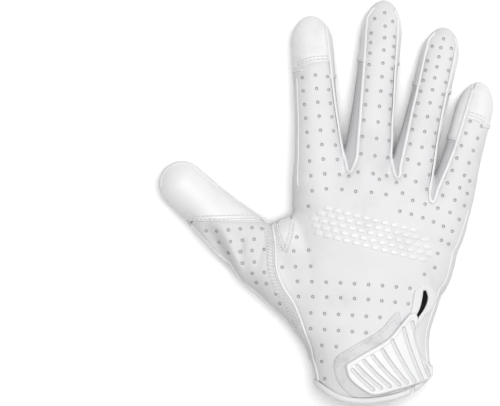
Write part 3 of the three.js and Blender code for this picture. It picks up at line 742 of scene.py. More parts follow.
def back_outline():
    """The back panel's plan outline, beyond the glove's own outline where it wraps over the side."""
    points = list(curve(THUMB_SEAM, 2.0)) + [(-53.1, 38.3), (-53.9, 45), (-58, 60)]
    index, little = FINGERS["index"], FINGERS["little"]
    points.append(index.plan(index.length - CAP_LENGTH["index"] - 9, -22))
    points += list(cap_seam("index")[:0:-1])
    points += list(crotch_curve("index", "middle"))
    points += across_finger("middle", FINGERS["middle"].length + 8, -8, 8)
    points += list(crotch_curve("middle", "ring"))
    points += across_finger("ring", FINGERS["ring"].length + 8, -7, 7)
    points += list(crotch_curve("ring", "little"))
    points += list(cap_seam("little")[1:])
    points.append(little.plan(little.length - CAP_LENGTH["little"] - 7, 24))
    points += [(72, 40), (72, -80)]
    return points


def silhouette(x, y):
    """How far inside the glove's own outline a plan point is, below zero inside."""
    nearest = None
    for z in (7.0, 10.0, 13.0, 16.0, 19.0):
        one = glove(x, y, np.full(np.shape(x), z))
        nearest = one if nearest is None else np.minimum(nearest, one)
    return nearest


class Outline(Region):
    """The glove's own plan outline on a grid."""

    def __init__(self, cell=0.8):
        self.low = np.array(PLAN_LOW)
        self.cell = cell
        self.count = np.array([int(span / cell) + 1 for span in PLAN_SPAN])
        xs, ys = (self.low[i] + cell * np.arange(self.count[i]) for i in (0, 1))
        x, y = np.meshgrid(xs, ys, indexing="ij")
        self.values = silhouette(x.ravel(), y.ravel()).reshape(x.shape)


def vent_outline(column):
    """The plan outline of the vent's slit or of its binding."""
    x, y, length, width = VENT
    rows = [row for row in VENT_SECTIONS if row[column] > 0]
    left = [(x + r[1] * width - r[column] * width, y - r[0] * length) for r in rows]
    right = [(x + r[1] * width + r[column] * width, y - r[0] * length) for r in rows]
    return list(curve(left, 1.0)) + list(curve(right[::-1], 1.0))


def on_tab(along, up):
    """The plan point at two shares of the strap tab."""
    return TAB[0] + along * TAB[2], TAB[1] + up * TAB[3]


def plan_grid(cell):
    """The columns and rows of a grid over the whole glove, and its points."""
    xs, ys = (np.arange(low, low + span - 1, cell) for low, span in zip(PLAN_LOW, PLAN_SPAN))
    return xs, ys, *np.meshgrid(xs, ys, indexing="ij")


EDGE = Outline()
BACK = Region(back_outline())
WEB_AREA = Region(WEB_INSERT)
CUFF = Region(list(curve(CUFF_EDGE, 2.0)) + [(90, -130), (-90, -130)], margin=40, cell=0.8)
SLIT = Region(vent_outline(2), cell=0.3)
BINDING = Region(vent_outline(3), cell=0.3)
TAB_AREA = Region(curve([on_tab(*row) for row in TAB_OUTLINE], 1.0, closed=True), cell=0.3, margin=12)


def above_cuff(x, y, distance=CUFF_BAND + GAP):
    """Below zero on the hand's side of the cuff's binding."""
    return distance - CUFF(x, y)


def between_fingers(x, y):
    """Whether a plan point is where the finger gussets, not the palm, meet the back panel's edge."""
    between = (FINGERS["index"].place(x, y)[1] > 0) & (FINGERS["little"].place(x, y)[1] < 0) & (y > 45)
    for name in ("middle", "ring"):
        along, across = FINGERS[name].place(x, y)
        between &= ~((along > FINGERS[name].dome - 2) & (np.abs(across) < 14))
    return between


def inset(x, y):
    """How far inside the glove's outline a panel turns down: less beside the cuff and between the fingers."""
    beside_cuff = (x < -25) & (y < -18)
    return np.where(between_fingers(x, y), 0.25, np.where(beside_cuff, 0.7, INSET))


def back_area(x, y):
    """The back of the hand, below zero inside: clear of the cuff's binding, the web insert and the vent."""
    area = np.maximum(BACK(x, y), above_cuff(x, y))
    area = np.maximum(area, GAP - WEB_AREA(x, y))
    return np.maximum(area, 0.4 - SLIT(x, y))


def gusset_area(x, y):
    """The thumb's upper side between its cap, the back panel and the cuff."""
    area = np.maximum(y - THUMB_CAP_Y + GAP, GAP - BACK(x, y))
    area = np.maximum(area, above_cuff(x, y))
    area = np.maximum(area, GAP - WEB_AREA(x, y))
    return np.maximum(area, x + 29.5)


def flat_part(area, x, y):
    """Below zero where a panel lies over the glove's top, short of where its sides turn down."""
    return np.maximum(area(x, y), EDGE(x, y) + inset(x, y))


def rows_of_perforations():
    """Centres of the perforations, laid evenly along their curves."""
    found = []
    for x0, y0, x1, y1, x2, y2, count in PERFORATIONS + HAND_PERFORATIONS:
        t = np.linspace(0, 1, count)[:, None]
        a, m, b = (np.array(p, float) for p in ((x0, y0), (x1, y1), (x2, y2)))
        middle = 2 * m - (a + b) / 2
        found.append(a * (1 - t) ** 2 + 2 * middle * t * (1 - t) + b * t**2)
    return np.vstack(found)


def kept_clear(centres, area, clear=1.45, most=2.2):
    """Perforations nudged in from a panel's edges, without those that lie too far over them."""
    def field(x, y):
        return flat_part(area, x, y)
    centres = np.array(centres, float)
    first = field(*centres.T)
    for _ in range(4):
        over = np.maximum(field(*centres.T) + clear, 0)
        centres = centres - plan_slope(field, *centres.T, 0.3) * over[:, None]
    centres = centres[(first < most - clear) & (field(*centres.T) < -clear + 0.3)]
    kept = []
    for spot in centres:
        if all(np.hypot(*(spot - other)) > 4.2 for other in kept):
            kept.append(spot)
    return np.array(kept)


def within(points, loops):
    """Whether plan points are inside closed loops, holes left out."""
    x, y = points.T
    inside = np.zeros(len(points), bool)
    for loop in loops:
        for (x0, y0), (x1, y1) in zip(loop, np.roll(loop, -1, axis=0)):
            if y0 != y1:
                inside ^= ((y0 > y) != (y1 > y)) & (x < x0 + (y - y0) * (x1 - x0) / (y1 - y0))
    return inside


# Panels: the rows of points down a wrapped side, and the runs in which each panel's sides end
SIDE_ROWS = 11
SIDE_SEAMS = {}


class Holes:
    """The perforations of one panel."""

    def __init__(self, centres):
        self.centres = centres
        self.tree = KDTree(len(centres))
        for i, (x, y) in enumerate(centres):
            self.tree.insert((x, y, 0), i)
        self.tree.balance()

    def distances(self, plan):
        """How far each plan point is from the nearest perforation's centre."""
        return np.array([self.tree.find((x, y, 0))[2] for x, y in plan])


def panel_loops(area):
    """The columns and rows of a plan grid, and the closed loops round a panel's flat part on it."""
    xs, ys, x, y = plan_grid(0.5)
    loops = contours(xs, ys, flat_part(area, x, y))
    loops = [evenly(np.vstack([loop, loop[:1]]), 1.1)[:-1] for loop in loops]
    return xs, ys, [loop for loop in loops if len(loop) > 10]


def panel_plan(area, holes, spacing):
    """A panel's flat part as plan points and triangles, with rings of points round each perforation."""
    xs, ys, loops = panel_loops(area)
    coords, edges = [], []

    def add_ring(ring):
        """A closed ring of points that triangles keep as edges."""
        first, count = len(coords), len(ring)
        coords.extend(tuple(p) for p in ring)
        edges.extend((first + i, first + (i + 1) % count) for i in range(count))

    for loop in loops:
        add_ring(loop)
    angles = np.linspace(0, 2 * math.pi, HOLE_SIDES, endpoint=False)
    for x, y in holes.centres:
        for radius in HOLE_RADII:
            add_ring([(x + radius * math.cos(a), y + radius * math.sin(a)) for a in angles])
    row, level = 0, ys[0]
    while level < ys[-1]:
        line = np.arange(xs[0] + (spacing / 2 if row % 2 else 0), xs[-1], spacing)
        line = line[flat_part(area, line, np.full(len(line), level)) < -0.6]
        if len(line):
            clear = holes.distances([(x, level) for x in line]) > 1.8
            coords += [(x, level) for x in line[clear]]
        level += spacing * 0.87
        row += 1
    flat, _, faces, *_ = delaunay_2d_cdt([Vector(c) for c in coords], edges, [], 0, 1e-4)
    flat, faces = np.array([tuple(v) for v in flat]), np.array([f for f in faces])
    faces = faces[within(flat[faces].mean(1), loops)]
    used, faces = np.unique(faces, return_inverse=True)
    flat, faces = flat[used], faces.reshape(-1, 3)
    turned = np.cross(flat[faces[:, 1]] - flat[faces[:, 0]], flat[faces[:, 2]] - flat[faces[:, 0]]) < 0
    faces[turned] = faces[turned][:, ::-1]
    return flat, faces


def pressed_in(area, flat, hole):
    """How far the leather sinks at plan points: into its perforations and down its rolled edge."""
    _, rim, floor, _ = HOLE_RADII
    drop = size("hole_depth") * (1 - smoothstep(hole, floor, rim)) + 0.10 * (1 - smoothstep(hole, 0.96, 1.25))
    drop -= 0.08 * (1 - smoothstep(hole, 0.3, 0.5)) * (hole < 0.6)
    return drop + 0.55 * (1 - smoothstep(-area(*flat.T), -0.1, 1.0))


def side_edges_of(area, flat, faces):
    """The edges on a panel's border from which its sides turn down to the palm seam."""
    used = dict.fromkeys(pair for f in faces for pair in ((f[0], f[1]), (f[1], f[2]), (f[2], f[0])))
    on_side = (EDGE(*flat.T) + inset(*flat.T) > -0.35) & (area(*flat.T) < 0.3) & ~between_fingers(*flat.T)
    return [(a, b) for a, b in used if (b, a) not in used and on_side[a] and on_side[b]]


def wrapped_sides(area, flat, faces, top):
    """Points and quads from a panel's border down to the palm seam, and the runs in which they end."""
    edges = side_edges_of(area, flat, faces)
    chosen = sorted({i for pair in edges for i in pair})
    number = {v: i for i, v in enumerate(chosen)}
    base = flat[chosen]
    out = plan_slope(EDGE, *base.T, 0.4)
    centre = np.column_stack([base, np.minimum(seam_height(*base.T), top[chosen][:, 2] - 1.5)])
    i, j = np.array([(number[a], number[b]) for a, b in edges]).T
    above_ids, above = np.array(chosen), top[chosen]
    stray = np.zeros(len(chosen), bool)
    points, quads = [], []
    for row in range(1, SIDE_ROWS + 2):
        angle = math.pi / 2 * (1 - row / SIDE_ROWS) if row <= SIDE_ROWS else -0.6
        tuck = (0.0, 0.2, 0.8)[max(0, row - SIDE_ROWS + 1)]
        rays = np.column_stack([out * math.cos(angle), np.full(len(chosen), math.sin(angle))])
        hit = outwards_hit(glove, centre, rays) - rays * tuck
        stray |= np.hypot(*(hit[:, :2] - base).T) > inset(*base.T) + 3.5
        over = area(*hit[:, :2].T)
        ids = len(top) + len(chosen) * (row - 1) + np.arange(len(chosen))
        facing = (np.cross(above[i] - above[j], hit[i] - above[j]) * (rays[i] + rays[j])).sum(1)
        good = (facing > 0) & ~stray[i] & ~stray[j] & (np.minimum(over[i], over[j]) < 1.3)
        quads += [(above_ids[b], above_ids[a], ids[a], ids[b]) for a, b in zip(i[good], j[good])]
        points.append(hit)
        above_ids, above = ids, hit
        if row == SIDE_ROWS:
            seam = hit
    runs = chained(seam, [(a, b) for a, b in zip(i, j) if not (stray[a] or stray[b])])
    return points, quads, runs


def chained(points, edges):
    """The runs of points that edges join end to end."""
    after = dict(edges)
    runs = []
    for start in [a for a in after if a not in after.values()] or [next(iter(after))]:
        run, here = [start], start
        while here in after and len(run) <= len(after):
            here = after[here]
            run.append(here)
        runs.append(points[run])
    return runs


def perforated_panel(name, area, centres, spacing, node, materials):
    """A panel meshed in plan, with real perforations, rolled edges and sides that wrap down to the seam."""
    holes = Holes(centres)
    flat, faces = panel_plan(area, holes, spacing)
    points = on_top(flat)
    points = points - unit(gradient(glove, points)) * pressed_in(area, flat, holes.distances(flat))[:, None]
    near = holes.distances(flat[faces].mean(1))
    # painted shade: faces round each perforation, its wall and the outer ring of its floor, take the wall's
    # darker finish; the floor's middle takes the pale backing
    slots = list(np.where(near < 0.4, 2, np.where(near < 0.96, 1, 0)))
    sides, quads, SIDE_SEAMS[name] = wrapped_sides(area, flat, faces, points)
    make_object(name, np.vstack([points, *sides]), [*map(tuple, faces), *quads], materials,
                slots=slots + [0] * len(quads), node=node, finish="perforated_leather")


def shell_piece(name, area, low, high, cell, materials, thickness=1.3, rounding=0.7, lift=0.0, hem=None,
                **facts):
    """A closed leather piece cut from the glove's form, with rounded edges and perhaps a sunk hem."""
    def field(x, y, z):
        form = glove(x, y, z) - lift
        skin = smooth_max(form, -form - thickness, rounding)
        value = smooth_max(skin, area(x, y, z), rounding)
        if hem is None:
            return value
        return np.minimum(value, np.maximum(np.maximum(form + 0.6, -form - 1.9), hem(x, y, z)))
    points, quads = net(field, low, high, cell)
    slots = None
    if isinstance(materials, list):
        slots = (glove(*points[quads].mean(1).T) < lift - 0.75 * thickness).astype(int)
    points[:, 2] = np.maximum(points[:, 2], 0.0)
    make_object(name, points, quads, materials, slots=slots, **facts)


def follow(plan, lift=0.0):
    """Points over a plan run on the glove's top, raised along its normal, and the normals."""
    points = on_top(np.asarray(plan, float))
    normals = unit(gradient(glove, points))
    return points + normals * lift, normals


def stitch_run(heap, plan, length, pitch, share=1.0, lift=0.2, surface=follow):
    """Stitches along a plan run, of the sewing thread or of a share of its thickness."""
    radius = share * size("thread_radius")
    plan = evenly(np.asarray(plan, float), 0.3)
    total = 0.3 * (len(plan) - 1)
    points, normals = surface(plan, lift)
    for start in np.arange(0.4, total - length, pitch):
        at = np.linspace(start, start + length, 5)
        index = np.clip((at / 0.3).astype(int), 0, len(points) - 1)
        spots = points[index] - normals[index] * (0.22 * np.array([1, 0.15, 0, 0.15, 1]))[:, None]
        if not np.isfinite(spots).all():
            continue
        heap.add(*tube(spots, radius * np.array([0.6, 1, 1, 1, 0.6]), sides=6, normals=normals[index]))


# Shader groups and finishes

def new_group(name, inputs, outputs):
    """An empty shader node group with named sockets."""
    group = bpy.data.node_groups.new(name, "ShaderNodeTree")
    for socket, value in inputs:
        made = group.interface.new_socket(name=socket, in_out="INPUT", socket_type="NodeSocketFloat")
        made.default_value = value
    for socket in outputs:
        group.interface.new_socket(name=socket, in_out="OUTPUT", socket_type="NodeSocketFloat")
    return group, group.nodes.new("NodeGroupInput"), group.nodes.new("NodeGroupOutput")


def math_node(tree, operation, *values, clamp=False):
    """A sum, product or the like of values and other nodes' outputs."""
    node = tree.nodes.new("ShaderNodeMath")
    node.operation = operation
    node.use_clamp = clamp
    for i, value in enumerate(values):
        if isinstance(value, (int, float)):
            node.inputs[i].default_value = value
        else:
            tree.links.new(value, node.inputs[i])
    return node.outputs[0]


def grain_group():
    """Fine leather grain: cells with soft creases between them, and a slow mottle."""
    group, into, out = new_group("Leather grain", [("Cell", 1100.0), ("Mottle", 60.0)], ["Height", "Mottle"])
    where = group.nodes.new("ShaderNodeTexCoord").outputs["Object"]
    cells = group.nodes.new("ShaderNodeTexVoronoi")
    cells.feature = "DISTANCE_TO_EDGE"
    bend = group.nodes.new("ShaderNodeTexNoise")
    bend.inputs["Scale"].default_value = 420
    bend.inputs["Detail"].default_value = 3
    slow = group.nodes.new("ShaderNodeTexNoise")
    slow.inputs["Detail"].default_value = 4
    group.links.new(where, cells.inputs["Vector"])
    group.links.new(where, bend.inputs["Vector"])
    group.links.new(where, slow.inputs["Vector"])
    group.links.new(into.outputs["Cell"], cells.inputs["Scale"])
    group.links.new(into.outputs["Mottle"], slow.inputs["Scale"])
    crease = math_node(group, "MULTIPLY", cells.outputs["Distance"], 4.0, clamp=True)
    height = math_node(group, "ADD", math_node(group, "MULTIPLY", crease, 0.6),
                       math_node(group, "MULTIPLY", bend.outputs["Fac"], 0.7))
    group.links.new(height, out.inputs["Height"])
    group.links.new(slow.outputs["Fac"], out.inputs["Mottle"])
    return group


def weave_group():
    """A woven tape: two crossed sets of ribs."""
    group, into, out = new_group("Woven tape", [("Ribs", 900.0)], ["Height"])
    where = group.nodes.new("ShaderNodeTexCoord").outputs["Object"]
    heights = []
    for direction in ("X", "Y"):
        wave = group.nodes.new("ShaderNodeTexWave")
        wave.bands_direction = direction
        wave.inputs["Distortion"].default_value = 1.2
        wave.inputs["Detail"].default_value = 1.0
        group.links.new(where, wave.inputs["Vector"])
        group.links.new(into.outputs["Ribs"], wave.inputs["Scale"])
        heights.append(wave.outputs["Fac"])
    group.links.new(math_node(group, "MAXIMUM", *heights), out.inputs["Height"])
    return group


def soil_group():
    """Faint handling marks: sparse soft patches."""
    group, into, out = new_group("Handling marks", [("Patch", 45.0), ("Amount", 0.5)], ["Mask"])
    where = group.nodes.new("ShaderNodeTexCoord").outputs["Object"]
    cloud = group.nodes.new("ShaderNodeTexNoise")
    cloud.inputs["Detail"].default_value = 5
    cloud.inputs["Roughness"].default_value = 0.62
    group.links.new(where, cloud.inputs["Vector"])
    group.links.new(into.outputs["Patch"], cloud.inputs["Scale"])
    ramp = group.nodes.new("ShaderNodeMapRange")
    ramp.interpolation_type = "SMOOTHSTEP"
    ramp.inputs["From Min"].default_value = 0.48
    ramp.inputs["From Max"].default_value = 0.75
    group.links.new(cloud.outputs["Fac"], ramp.inputs["Value"])
    mask = math_node(group, "MULTIPLY", ramp.outputs["Result"], into.outputs["Amount"])
    group.links.new(mask, out.inputs["Mask"])
    return group


def colour(value):
    """A linear colour from a display grey or a display triple."""
    values = (value,) * 3 if isinstance(value, (int, float)) else value
    return tuple(((v + 0.055) / 1.055) ** 2.4 if v > 0.04045 else v / 12.92 for v in values) + (1.0,)


class Finish:
    """A material under way: its tree, its shader and its shared groups."""

    groups = {}

    def __init__(self, name, roughness, specular=0.4, coat=0.0, sheen=0.0):
        self.material = bpy.data.materials.new(name)
        self.material.use_nodes = True
        self.tree = self.material.node_tree
        self.shader = self.tree.nodes["Principled BSDF"]
        self.shader.inputs["Roughness"].default_value = roughness
        self.shader.inputs["Specular IOR Level"].default_value = specular
        self.shader.inputs["Coat Weight"].default_value = coat
        self.shader.inputs["Coat Roughness"].default_value = 0.35
        self.shader.inputs["Sheen Weight"].default_value = sheen
        self.shader.inputs["Sheen Roughness"].default_value = 0.6

    def group(self, name, make, **values):
        """A shared group placed in this material with its own values."""
        if name not in Finish.groups:
            Finish.groups[name] = make()
        node = self.tree.nodes.new("ShaderNodeGroup")
        node.node_tree = Finish.groups[name]
        for socket, value in values.items():
            node.inputs[socket].default_value = value
        return node.outputs

    def shade(self, light, dark, mask):
        """Base colour between two display colours by a mask."""
        mix = self.tree.nodes.new("ShaderNodeMix")
        mix.data_type = "RGBA"
        factor, first, second, result = mix.inputs[0], mix.inputs[6], mix.inputs[7], mix.outputs[2]
        first.default_value = colour(light)
        second.default_value = colour(dark)
        self.tree.links.new(mask, factor)
        self.tree.links.new(result, self.shader.inputs["Base Color"])

    def rough(self, mask, low, high):
        """Roughness between two values by a mask."""
        ramp = self.tree.nodes.new("ShaderNodeMapRange")
        ramp.inputs["To Min"].default_value = low
        ramp.inputs["To Max"].default_value = high
        self.tree.links.new(mask, ramp.inputs["Value"])
        self.tree.links.new(ramp.outputs["Result"], self.shader.inputs["Roughness"])

    def bump(self, height, distance):
        """Relief from a height, as deep as a distance in metres."""
        bump = self.tree.nodes.new("ShaderNodeBump")
        bump.inputs["Distance"].default_value = distance
        self.tree.links.new(height, bump.inputs["Height"])
        self.tree.links.new(bump.outputs["Normal"], self.shader.inputs["Normal"])


def leather(name, light, dark, cell, depth, rough, coat=0.0, marks=0.5, sheen=0.0):
    """Leather or coated fabric with grain, mottle and faint marks."""
    finish = Finish(name, rough[0], coat=coat, sheen=sheen)
    grain = finish.group("Leather grain", grain_group, Cell=cell)
    soil = finish.group("Handling marks", soil_group, Amount=marks)
    mottle = math_node(finish.tree, "MULTIPLY", grain["Mottle"], 0.35)
    mask = math_node(finish.tree, "ADD", mottle, soil["Mask"], clamp=True)
    finish.shade(light, dark, mask)
    finish.rough(grain["Mottle"], *rough)
    finish.bump(grain["Height"], depth)
    return finish.material


def woven(name, light, dark, ribs, depth, roughness, sheen=0.2):
    """Tape, thread or loop cloth with ribs, and painted shade between them."""
    finish = Finish(name, roughness, specular=0.25, sheen=sheen)
    weave = finish.group("Woven tape", weave_group, Ribs=ribs)
    soil = finish.group("Handling marks", soil_group, Amount=0.4)
    # painted shade: between the ribs the colour goes 0.4 of the way to the dark tone, less on their tops; the
    # handling marks add real soil
    rib_tops_lit = math_node(finish.tree, "MULTIPLY", weave["Height"], -0.4)
    soil_and_groove_shade = math_node(finish.tree, "ADD", soil["Mask"], 0.4)
    mask = math_node(finish.tree, "ADD", rib_tops_lit, soil_and_groove_shade, clamp=True)
    finish.shade(light, dark, mask)
    finish.rough(soil["Mask"], roughness, min(1.0, roughness + 0.15))
    finish.bump(weave["Height"], depth)
    return finish.material


def dimmed(light, share=0.93):
    """A display colour made darker by a share."""
    return tuple(share * v for v in light)


# Materials, each from the sidebar's colours

def perforated_leather(colours):
    """The coated leather of the back of the hand."""
    back = colours.back_colour
    return leather("Perforated leather", back, dimmed(back), 1300, 0.00005, (0.5, 0.66))


def gusset_leather(colours):
    """The same leather over the thumb's root, painted slightly darker as shade."""
    back = colours.back_colour
    # painted shade: the back's colour dimmed by 0.97 stands in for the shade on the thumb's side that faces
    # away from the light
    return leather("Gusset leather", dimmed(back, 0.97), dimmed(back), 1300, 0.00005, (0.5, 0.66))


def hole_wall(colours):
    """The cut walls of the perforations, painted darker as the shade inside the holes."""
    return leather("Perforation wall", (0.62,) * 3, (0.56,) * 3, 2400, 0.00003, (0.7, 0.85))


def hole_floor(colours):
    """The pale backing that shows in the perforations."""
    return leather("Perforation floor", (0.84,) * 3, (0.78,) * 3, 2400, 0.00003, (0.7, 0.85))


def smooth_leather(colours):
    """The plain leather of the caps, the bands and the piping."""
    return leather("Smooth leather", colours.trim_colour, dimmed(colours.back_colour), 1500, 0.00003,
                   (0.36, 0.5), coat=0.06)


def grip_leather(colours):
    """The tacky leather of the palm."""
    return leather("Grip leather", colours.trim_colour, dimmed(colours.back_colour), 700, 0.00008,
                   (0.3, 0.45), coat=0.15)


def gusset_cloth(colours):
    """The stretch cloth between the fingers."""
    light = colours.cloth_colour
    return woven("Gusset cloth", light, tuple(v - 0.1 for v in light), 1400, 0.00006, 0.85)


def lining(colours):
    """The cloth inside the glove, painted dark as the shade in its hollow."""
    light = colours.lining_colour
    return woven("Lining with painted shade", light, tuple(v - 0.08 for v in light), 1500, 0.00005, 0.9, 0.1)


def binding_tape(colours):
    """The tape round the cuff and the vent."""
    return woven("Binding tape", colours.trim_colour, dimmed(colours.back_colour), 1100, 0.00006, 0.7)


def thread(colours):
    """The sewing thread."""
    return woven("Thread", colours.trim_colour, dimmed(colours.back_colour), 2600, 0.00005, 0.6, 0.15)


def loop_fabric(colours):
    """The brushed loops under the strap tab."""
    back = colours.back_colour
    return leather("Loop fabric", back, dimmed(back, 0.84), 1900, 0.0001, (0.9, 1.0), marks=1.0, sheen=0.2)


def tab_rubber(colours):
    """The moulded rubber of the strap tab."""
    return leather("Tab rubber", colours.trim_colour, dimmed(colours.back_colour), 900, 0.00002,
                   (0.4, 0.52), marks=0.3)


def tab_channel(colours):
    """The duller floors of the tab's channels, painted darker as the shade in them."""
    return leather("Tab channel", dimmed(colours.trim_colour, 0.94), dimmed(colours.back_colour), 1200,
                   0.00002, (0.6, 0.7))


def knuckle_print(colours):
    """The glossy raised print."""
    return leather("Knuckle print", dimmed(colours.trim_colour, 0.98), dimmed(colours.back_colour), 1800,
                   0.00001, (0.4, 0.5), coat=0.1)


MATERIALS = {}


def material(maker):
    """The material of one of the functions above, made once."""
    if maker not in MATERIALS:
        MATERIALS[maker] = maker(bpy.context.scene.glove_colours)
    return MATERIALS[maker]


# Pieces

def make_back_panel():
    """The back of the hand with its finger strips, perforated clear of the print, the patch and the vent."""
    centres = kept_clear(rows_of_perforations(), back_area)
    beside_tab = np.where(centres[:, 0] < on_tab(PATCH_RIGHT, 0)[0] + 1, PATCH_MARGIN + 2.0, 2.2)
    keep = Region(PRINT_ZONE)(*centres.T) > 0.8
    keep &= (TAB_AREA(*centres.T) > beside_tab) & (BINDING(*centres.T) > 1.6)
    materials = [material(perforated_leather), material(hole_wall), material(hole_floor)]
    perforated_panel("back_panel_leather", back_area, centres[keep], 1.25, "back_panel", materials)


def make_thumb_gusset():
    """The thumb's folded gusset, with perforations in even rows."""
    (x, y), (across, up) = GUSSET_HOLE, GUSSET_STEPS
    centres = [(x + column * across + row % 2 * GUSSET_SHIFT, y + row * up + column * GUSSET_CLIMB)
               for row in range(-2, 16) for column in range(16)]
    centres = kept_clear(centres, gusset_area, clear=1.6, most=1.8)
    centres = centres[BACK(*centres.T) > 5.6]
    materials = [material(gusset_leather), material(hole_wall), material(hole_floor)]
    perforated_panel("thumb_gusset_leather", gusset_area, centres, 1.2, "thumb_gusset", materials)


def make_thumb_cap():
    """The thumb's cap: above the palm seam it reaches the web insert, and below it stops sooner."""
    def area(x, y, z):
        beside_web = np.maximum(x - THUMB_CAP_RIGHT, GAP - WEB_AREA(x, y))
        below = x - THUMB_CAP_FOOT
        return np.maximum(THUMB_CAP_Y + GAP - y, np.where(z > SEAM_HEIGHT, beside_web, below))
    shell_piece("thumb_cap_leather", area, (-122, 36, -1), (-47, 74, 28), 0.75, material(smooth_leather),
                node="thumb_cap", finish="smooth_leather")


def cap_region(name):
    """The plan region of a fingertip's cap, beyond the glove's own outline at its outer side."""
    finger = FINGERS[name]
    start = finger.length - CAP_LENGTH[name]
    side = CAP_SEAMS[name][0]
    points = list(strip_side(name, side, start, finger.length + 6))
    points += [finger.plan(finger.length + 8, -22 * side), finger.plan(start - 8, -22 * side)]
    points += list(cap_seam(name)[:0:-1])
    return Region(points)


def make_caps():
    """The caps of the index and the little finger, down to the palm seam."""
    for name in CAP_LENGTH:
        region = cap_region(name)
        finger = FINGERS[name]
        start = finger.length - CAP_LENGTH[name]

        def area(x, y, z, region=region, finger=finger):
            along, _ = finger.place(x, y)
            _, _, height = finger.section(along)
            return np.maximum(region(x, y) + GAP, height - SEAM_DROP + GAP - z)
        low = np.minimum(finger.plan(start, -16), finger.plan(finger.length + 2, 16)) - 8
        high = np.maximum(finger.plan(start, -16), finger.plan(finger.length + 2, 16)) + 8
        shell_piece(f"{name}_cap_leather", area, (low[0], low[1], 3), (high[0], high[1], 24), 0.6,
                    material(smooth_leather), node=f"{name}_cap", finish="smooth_leather")


def make_gussets():
    """The cloth between each two fingers, under the back panel's edge and above the palm seam."""
    for left, right in CROTCH_SEAMS:
        one, two = FINGERS[left], FINGERS[right]

        def area(x, y, z, one=one, two=two):
            value = GAP - np.maximum(BACK(x, y), EDGE(x, y) + 0.6)
            value = np.maximum(value, seam_height(x, y) + GAP - z)
            along_one, across_one = one.place(x, y)
            along_two, across_two = two.place(x, y)
            value = np.maximum(value, -across_one)
            value = np.maximum(value, across_two)
            on_one = np.abs(across_one) < np.abs(across_two)
            end = np.where(on_one, along_one - one.length, along_two - two.length) + TIP_WRAP + GAP
            return np.maximum(value, end)
        corners = np.array([one.plan(15, 0), one.plan(one.length - 30, 0), two.plan(15, 0),
                            two.plan(two.length - 30, 0)])
        low, high = corners.min(0) - 3, corners.max(0) + 3
        shell_piece(f"gusset_{left}_{right}_cloth", area, (low[0], low[1], 6), (high[0], high[1], 30), 0.6,
                    material(gusset_cloth), thickness=1.2, lift=-0.25,
                    node=f"gusset_{left}_{right}", finish="perforated_leather")


def make_palm():
    """The palm with the fingers' undersides, and a sunk hem along its seam."""
    def area(x, y, z):
        value = np.maximum(z - seam_height(x, y) + GAP, above_cuff(x, y))
        for finger in FINGERS.values():
            along, across = finger.place(x, y)
            on_it = np.abs(across) < finger.section(along)[0] + 2.5
            value = np.where(on_it, np.maximum(value, along - finger.length + TIP_WRAP + GAP), value)
        under_cap = np.minimum(y - THUMB_CAP_Y + GAP, THUMB_CAP_FOOT - x)
        return np.maximum(value, np.where(x < THUMB_CAP_FOOT, under_cap, -9))

    def hem(x, y, z):
        value = np.maximum(np.abs(z - seam_height(x, y)) - 2.0, above_cuff(x, y, CUFF_BAND + 1))
        value = np.maximum(value, np.where(x < THUMB_CAP_FOOT + 2, y - THUMB_CAP_Y + 1, -9))
        return np.maximum(value, np.where(between_fingers(x, y), 9, -9))
    # The palm's inner faces take the lining, painted dark as the shade inside the glove.
    shell_piece("palm_leather", area, (-106, -62, -1), (70, 132, 18), 1.1,
                [material(grip_leather), material(lining)], hem=hem, node="palm_panel", finish="grip_leather")


def make_tip_bands():
    """The bands round the fingertips, up to the back panel's strips and the caps."""
    caps = {name: cap_region(name) for name in CAP_LENGTH}
    for name, finger in FINGERS.items():
        def area(x, y, z, finger=finger, name=name):
            along, across = finger.place(x, y)
            value = np.maximum(finger.length - TIP_WRAP + GAP - along, np.abs(across) - 16)
            covered = GAP - np.minimum(BACK(x, y), caps[name](x, y) if name in caps else 9.0)
            return np.maximum(value, np.minimum(covered, z - seam_height(x, y) + GAP))
        start = finger.length - TIP_WRAP
        corners = np.array([finger.plan(along, across) for along in (start, finger.length + 2)
                            for across in (-15, 15)])
        low, high = corners.min(0) - 1, corners.max(0) + 1
        shell_piece(f"{name}_tip_band_leather", area, (low[0], low[1], -1), (high[0], high[1], 28), 0.65,
                    material(smooth_leather), node="palm_panel", finish="smooth_leather")


def make_web_insert():
    """The wedge between thumb and index finger, with a hem under the leather round it."""
    def area(x, y, z):
        return np.maximum(WEB_AREA(x, y) + GAP, SEAM_HEIGHT - z)

    def hem(x, y, z):
        return np.maximum(WEB_AREA(x, y) - 3.5, SEAM_HEIGHT - 1 - z)
    shell_piece("web_insert_leather", area, (-60, 14, 12), (-39, 56, 32), 0.5, material(perforated_leather),
                rounding=0.3, hem=hem, node="web_insert", finish="perforated_leather")


def make_cuff_binding():
    """The tape round the cuff's edge, cut at the vent."""
    middle, half = CUFF_TAPE

    def field(x, y, z):
        skin = np.abs(hand(x, y, z) - middle) - half
        band = np.abs(CUFF(x, y) - CUFF_BAND / 2) - CUFF_BAND / 2
        return smooth_max(smooth_max(skin, band, 1.6), GAP - BINDING(x, y) - 2.2, 0.5)
    points, quads = net(field, (-37, -68, -2), (38, -38, 42), 0.6)
    points[:, 2] = np.maximum(points[:, 2], 0.0)
    make_object("cuff_binding_tape", points, quads, material(binding_tape), node="cuff_binding",
                finish="binding")


def make_vent_binding():
    """The tape round the vent's keyhole and along its slit."""
    middle, half = VENT_TAPE

    def field(x, y, z):
        skin = np.abs(hand(x, y, z) - middle) - half
        band = np.maximum(BINDING(x, y), 0.1 - SLIT(x, y))
        value = smooth_max(skin, band, 1.0)
        return np.maximum(value, above_cuff(x, y))
    points, quads = net(field, (14, -57, 20), (38, 4, 39), 0.42)
    make_object("vent_binding_tape", points, quads, material(binding_tape), node="vent_binding",
                finish="binding")


def patch_area(x, y):
    """The fastener patch: a margin round the strap tab, short of its right side and of the cuff."""
    area = smooth_max(TAB_AREA(x, y) - PATCH_MARGIN, x - on_tab(PATCH_RIGHT, 0)[0], 4.0)
    return smooth_max(area, above_cuff(x, y), 1.0)


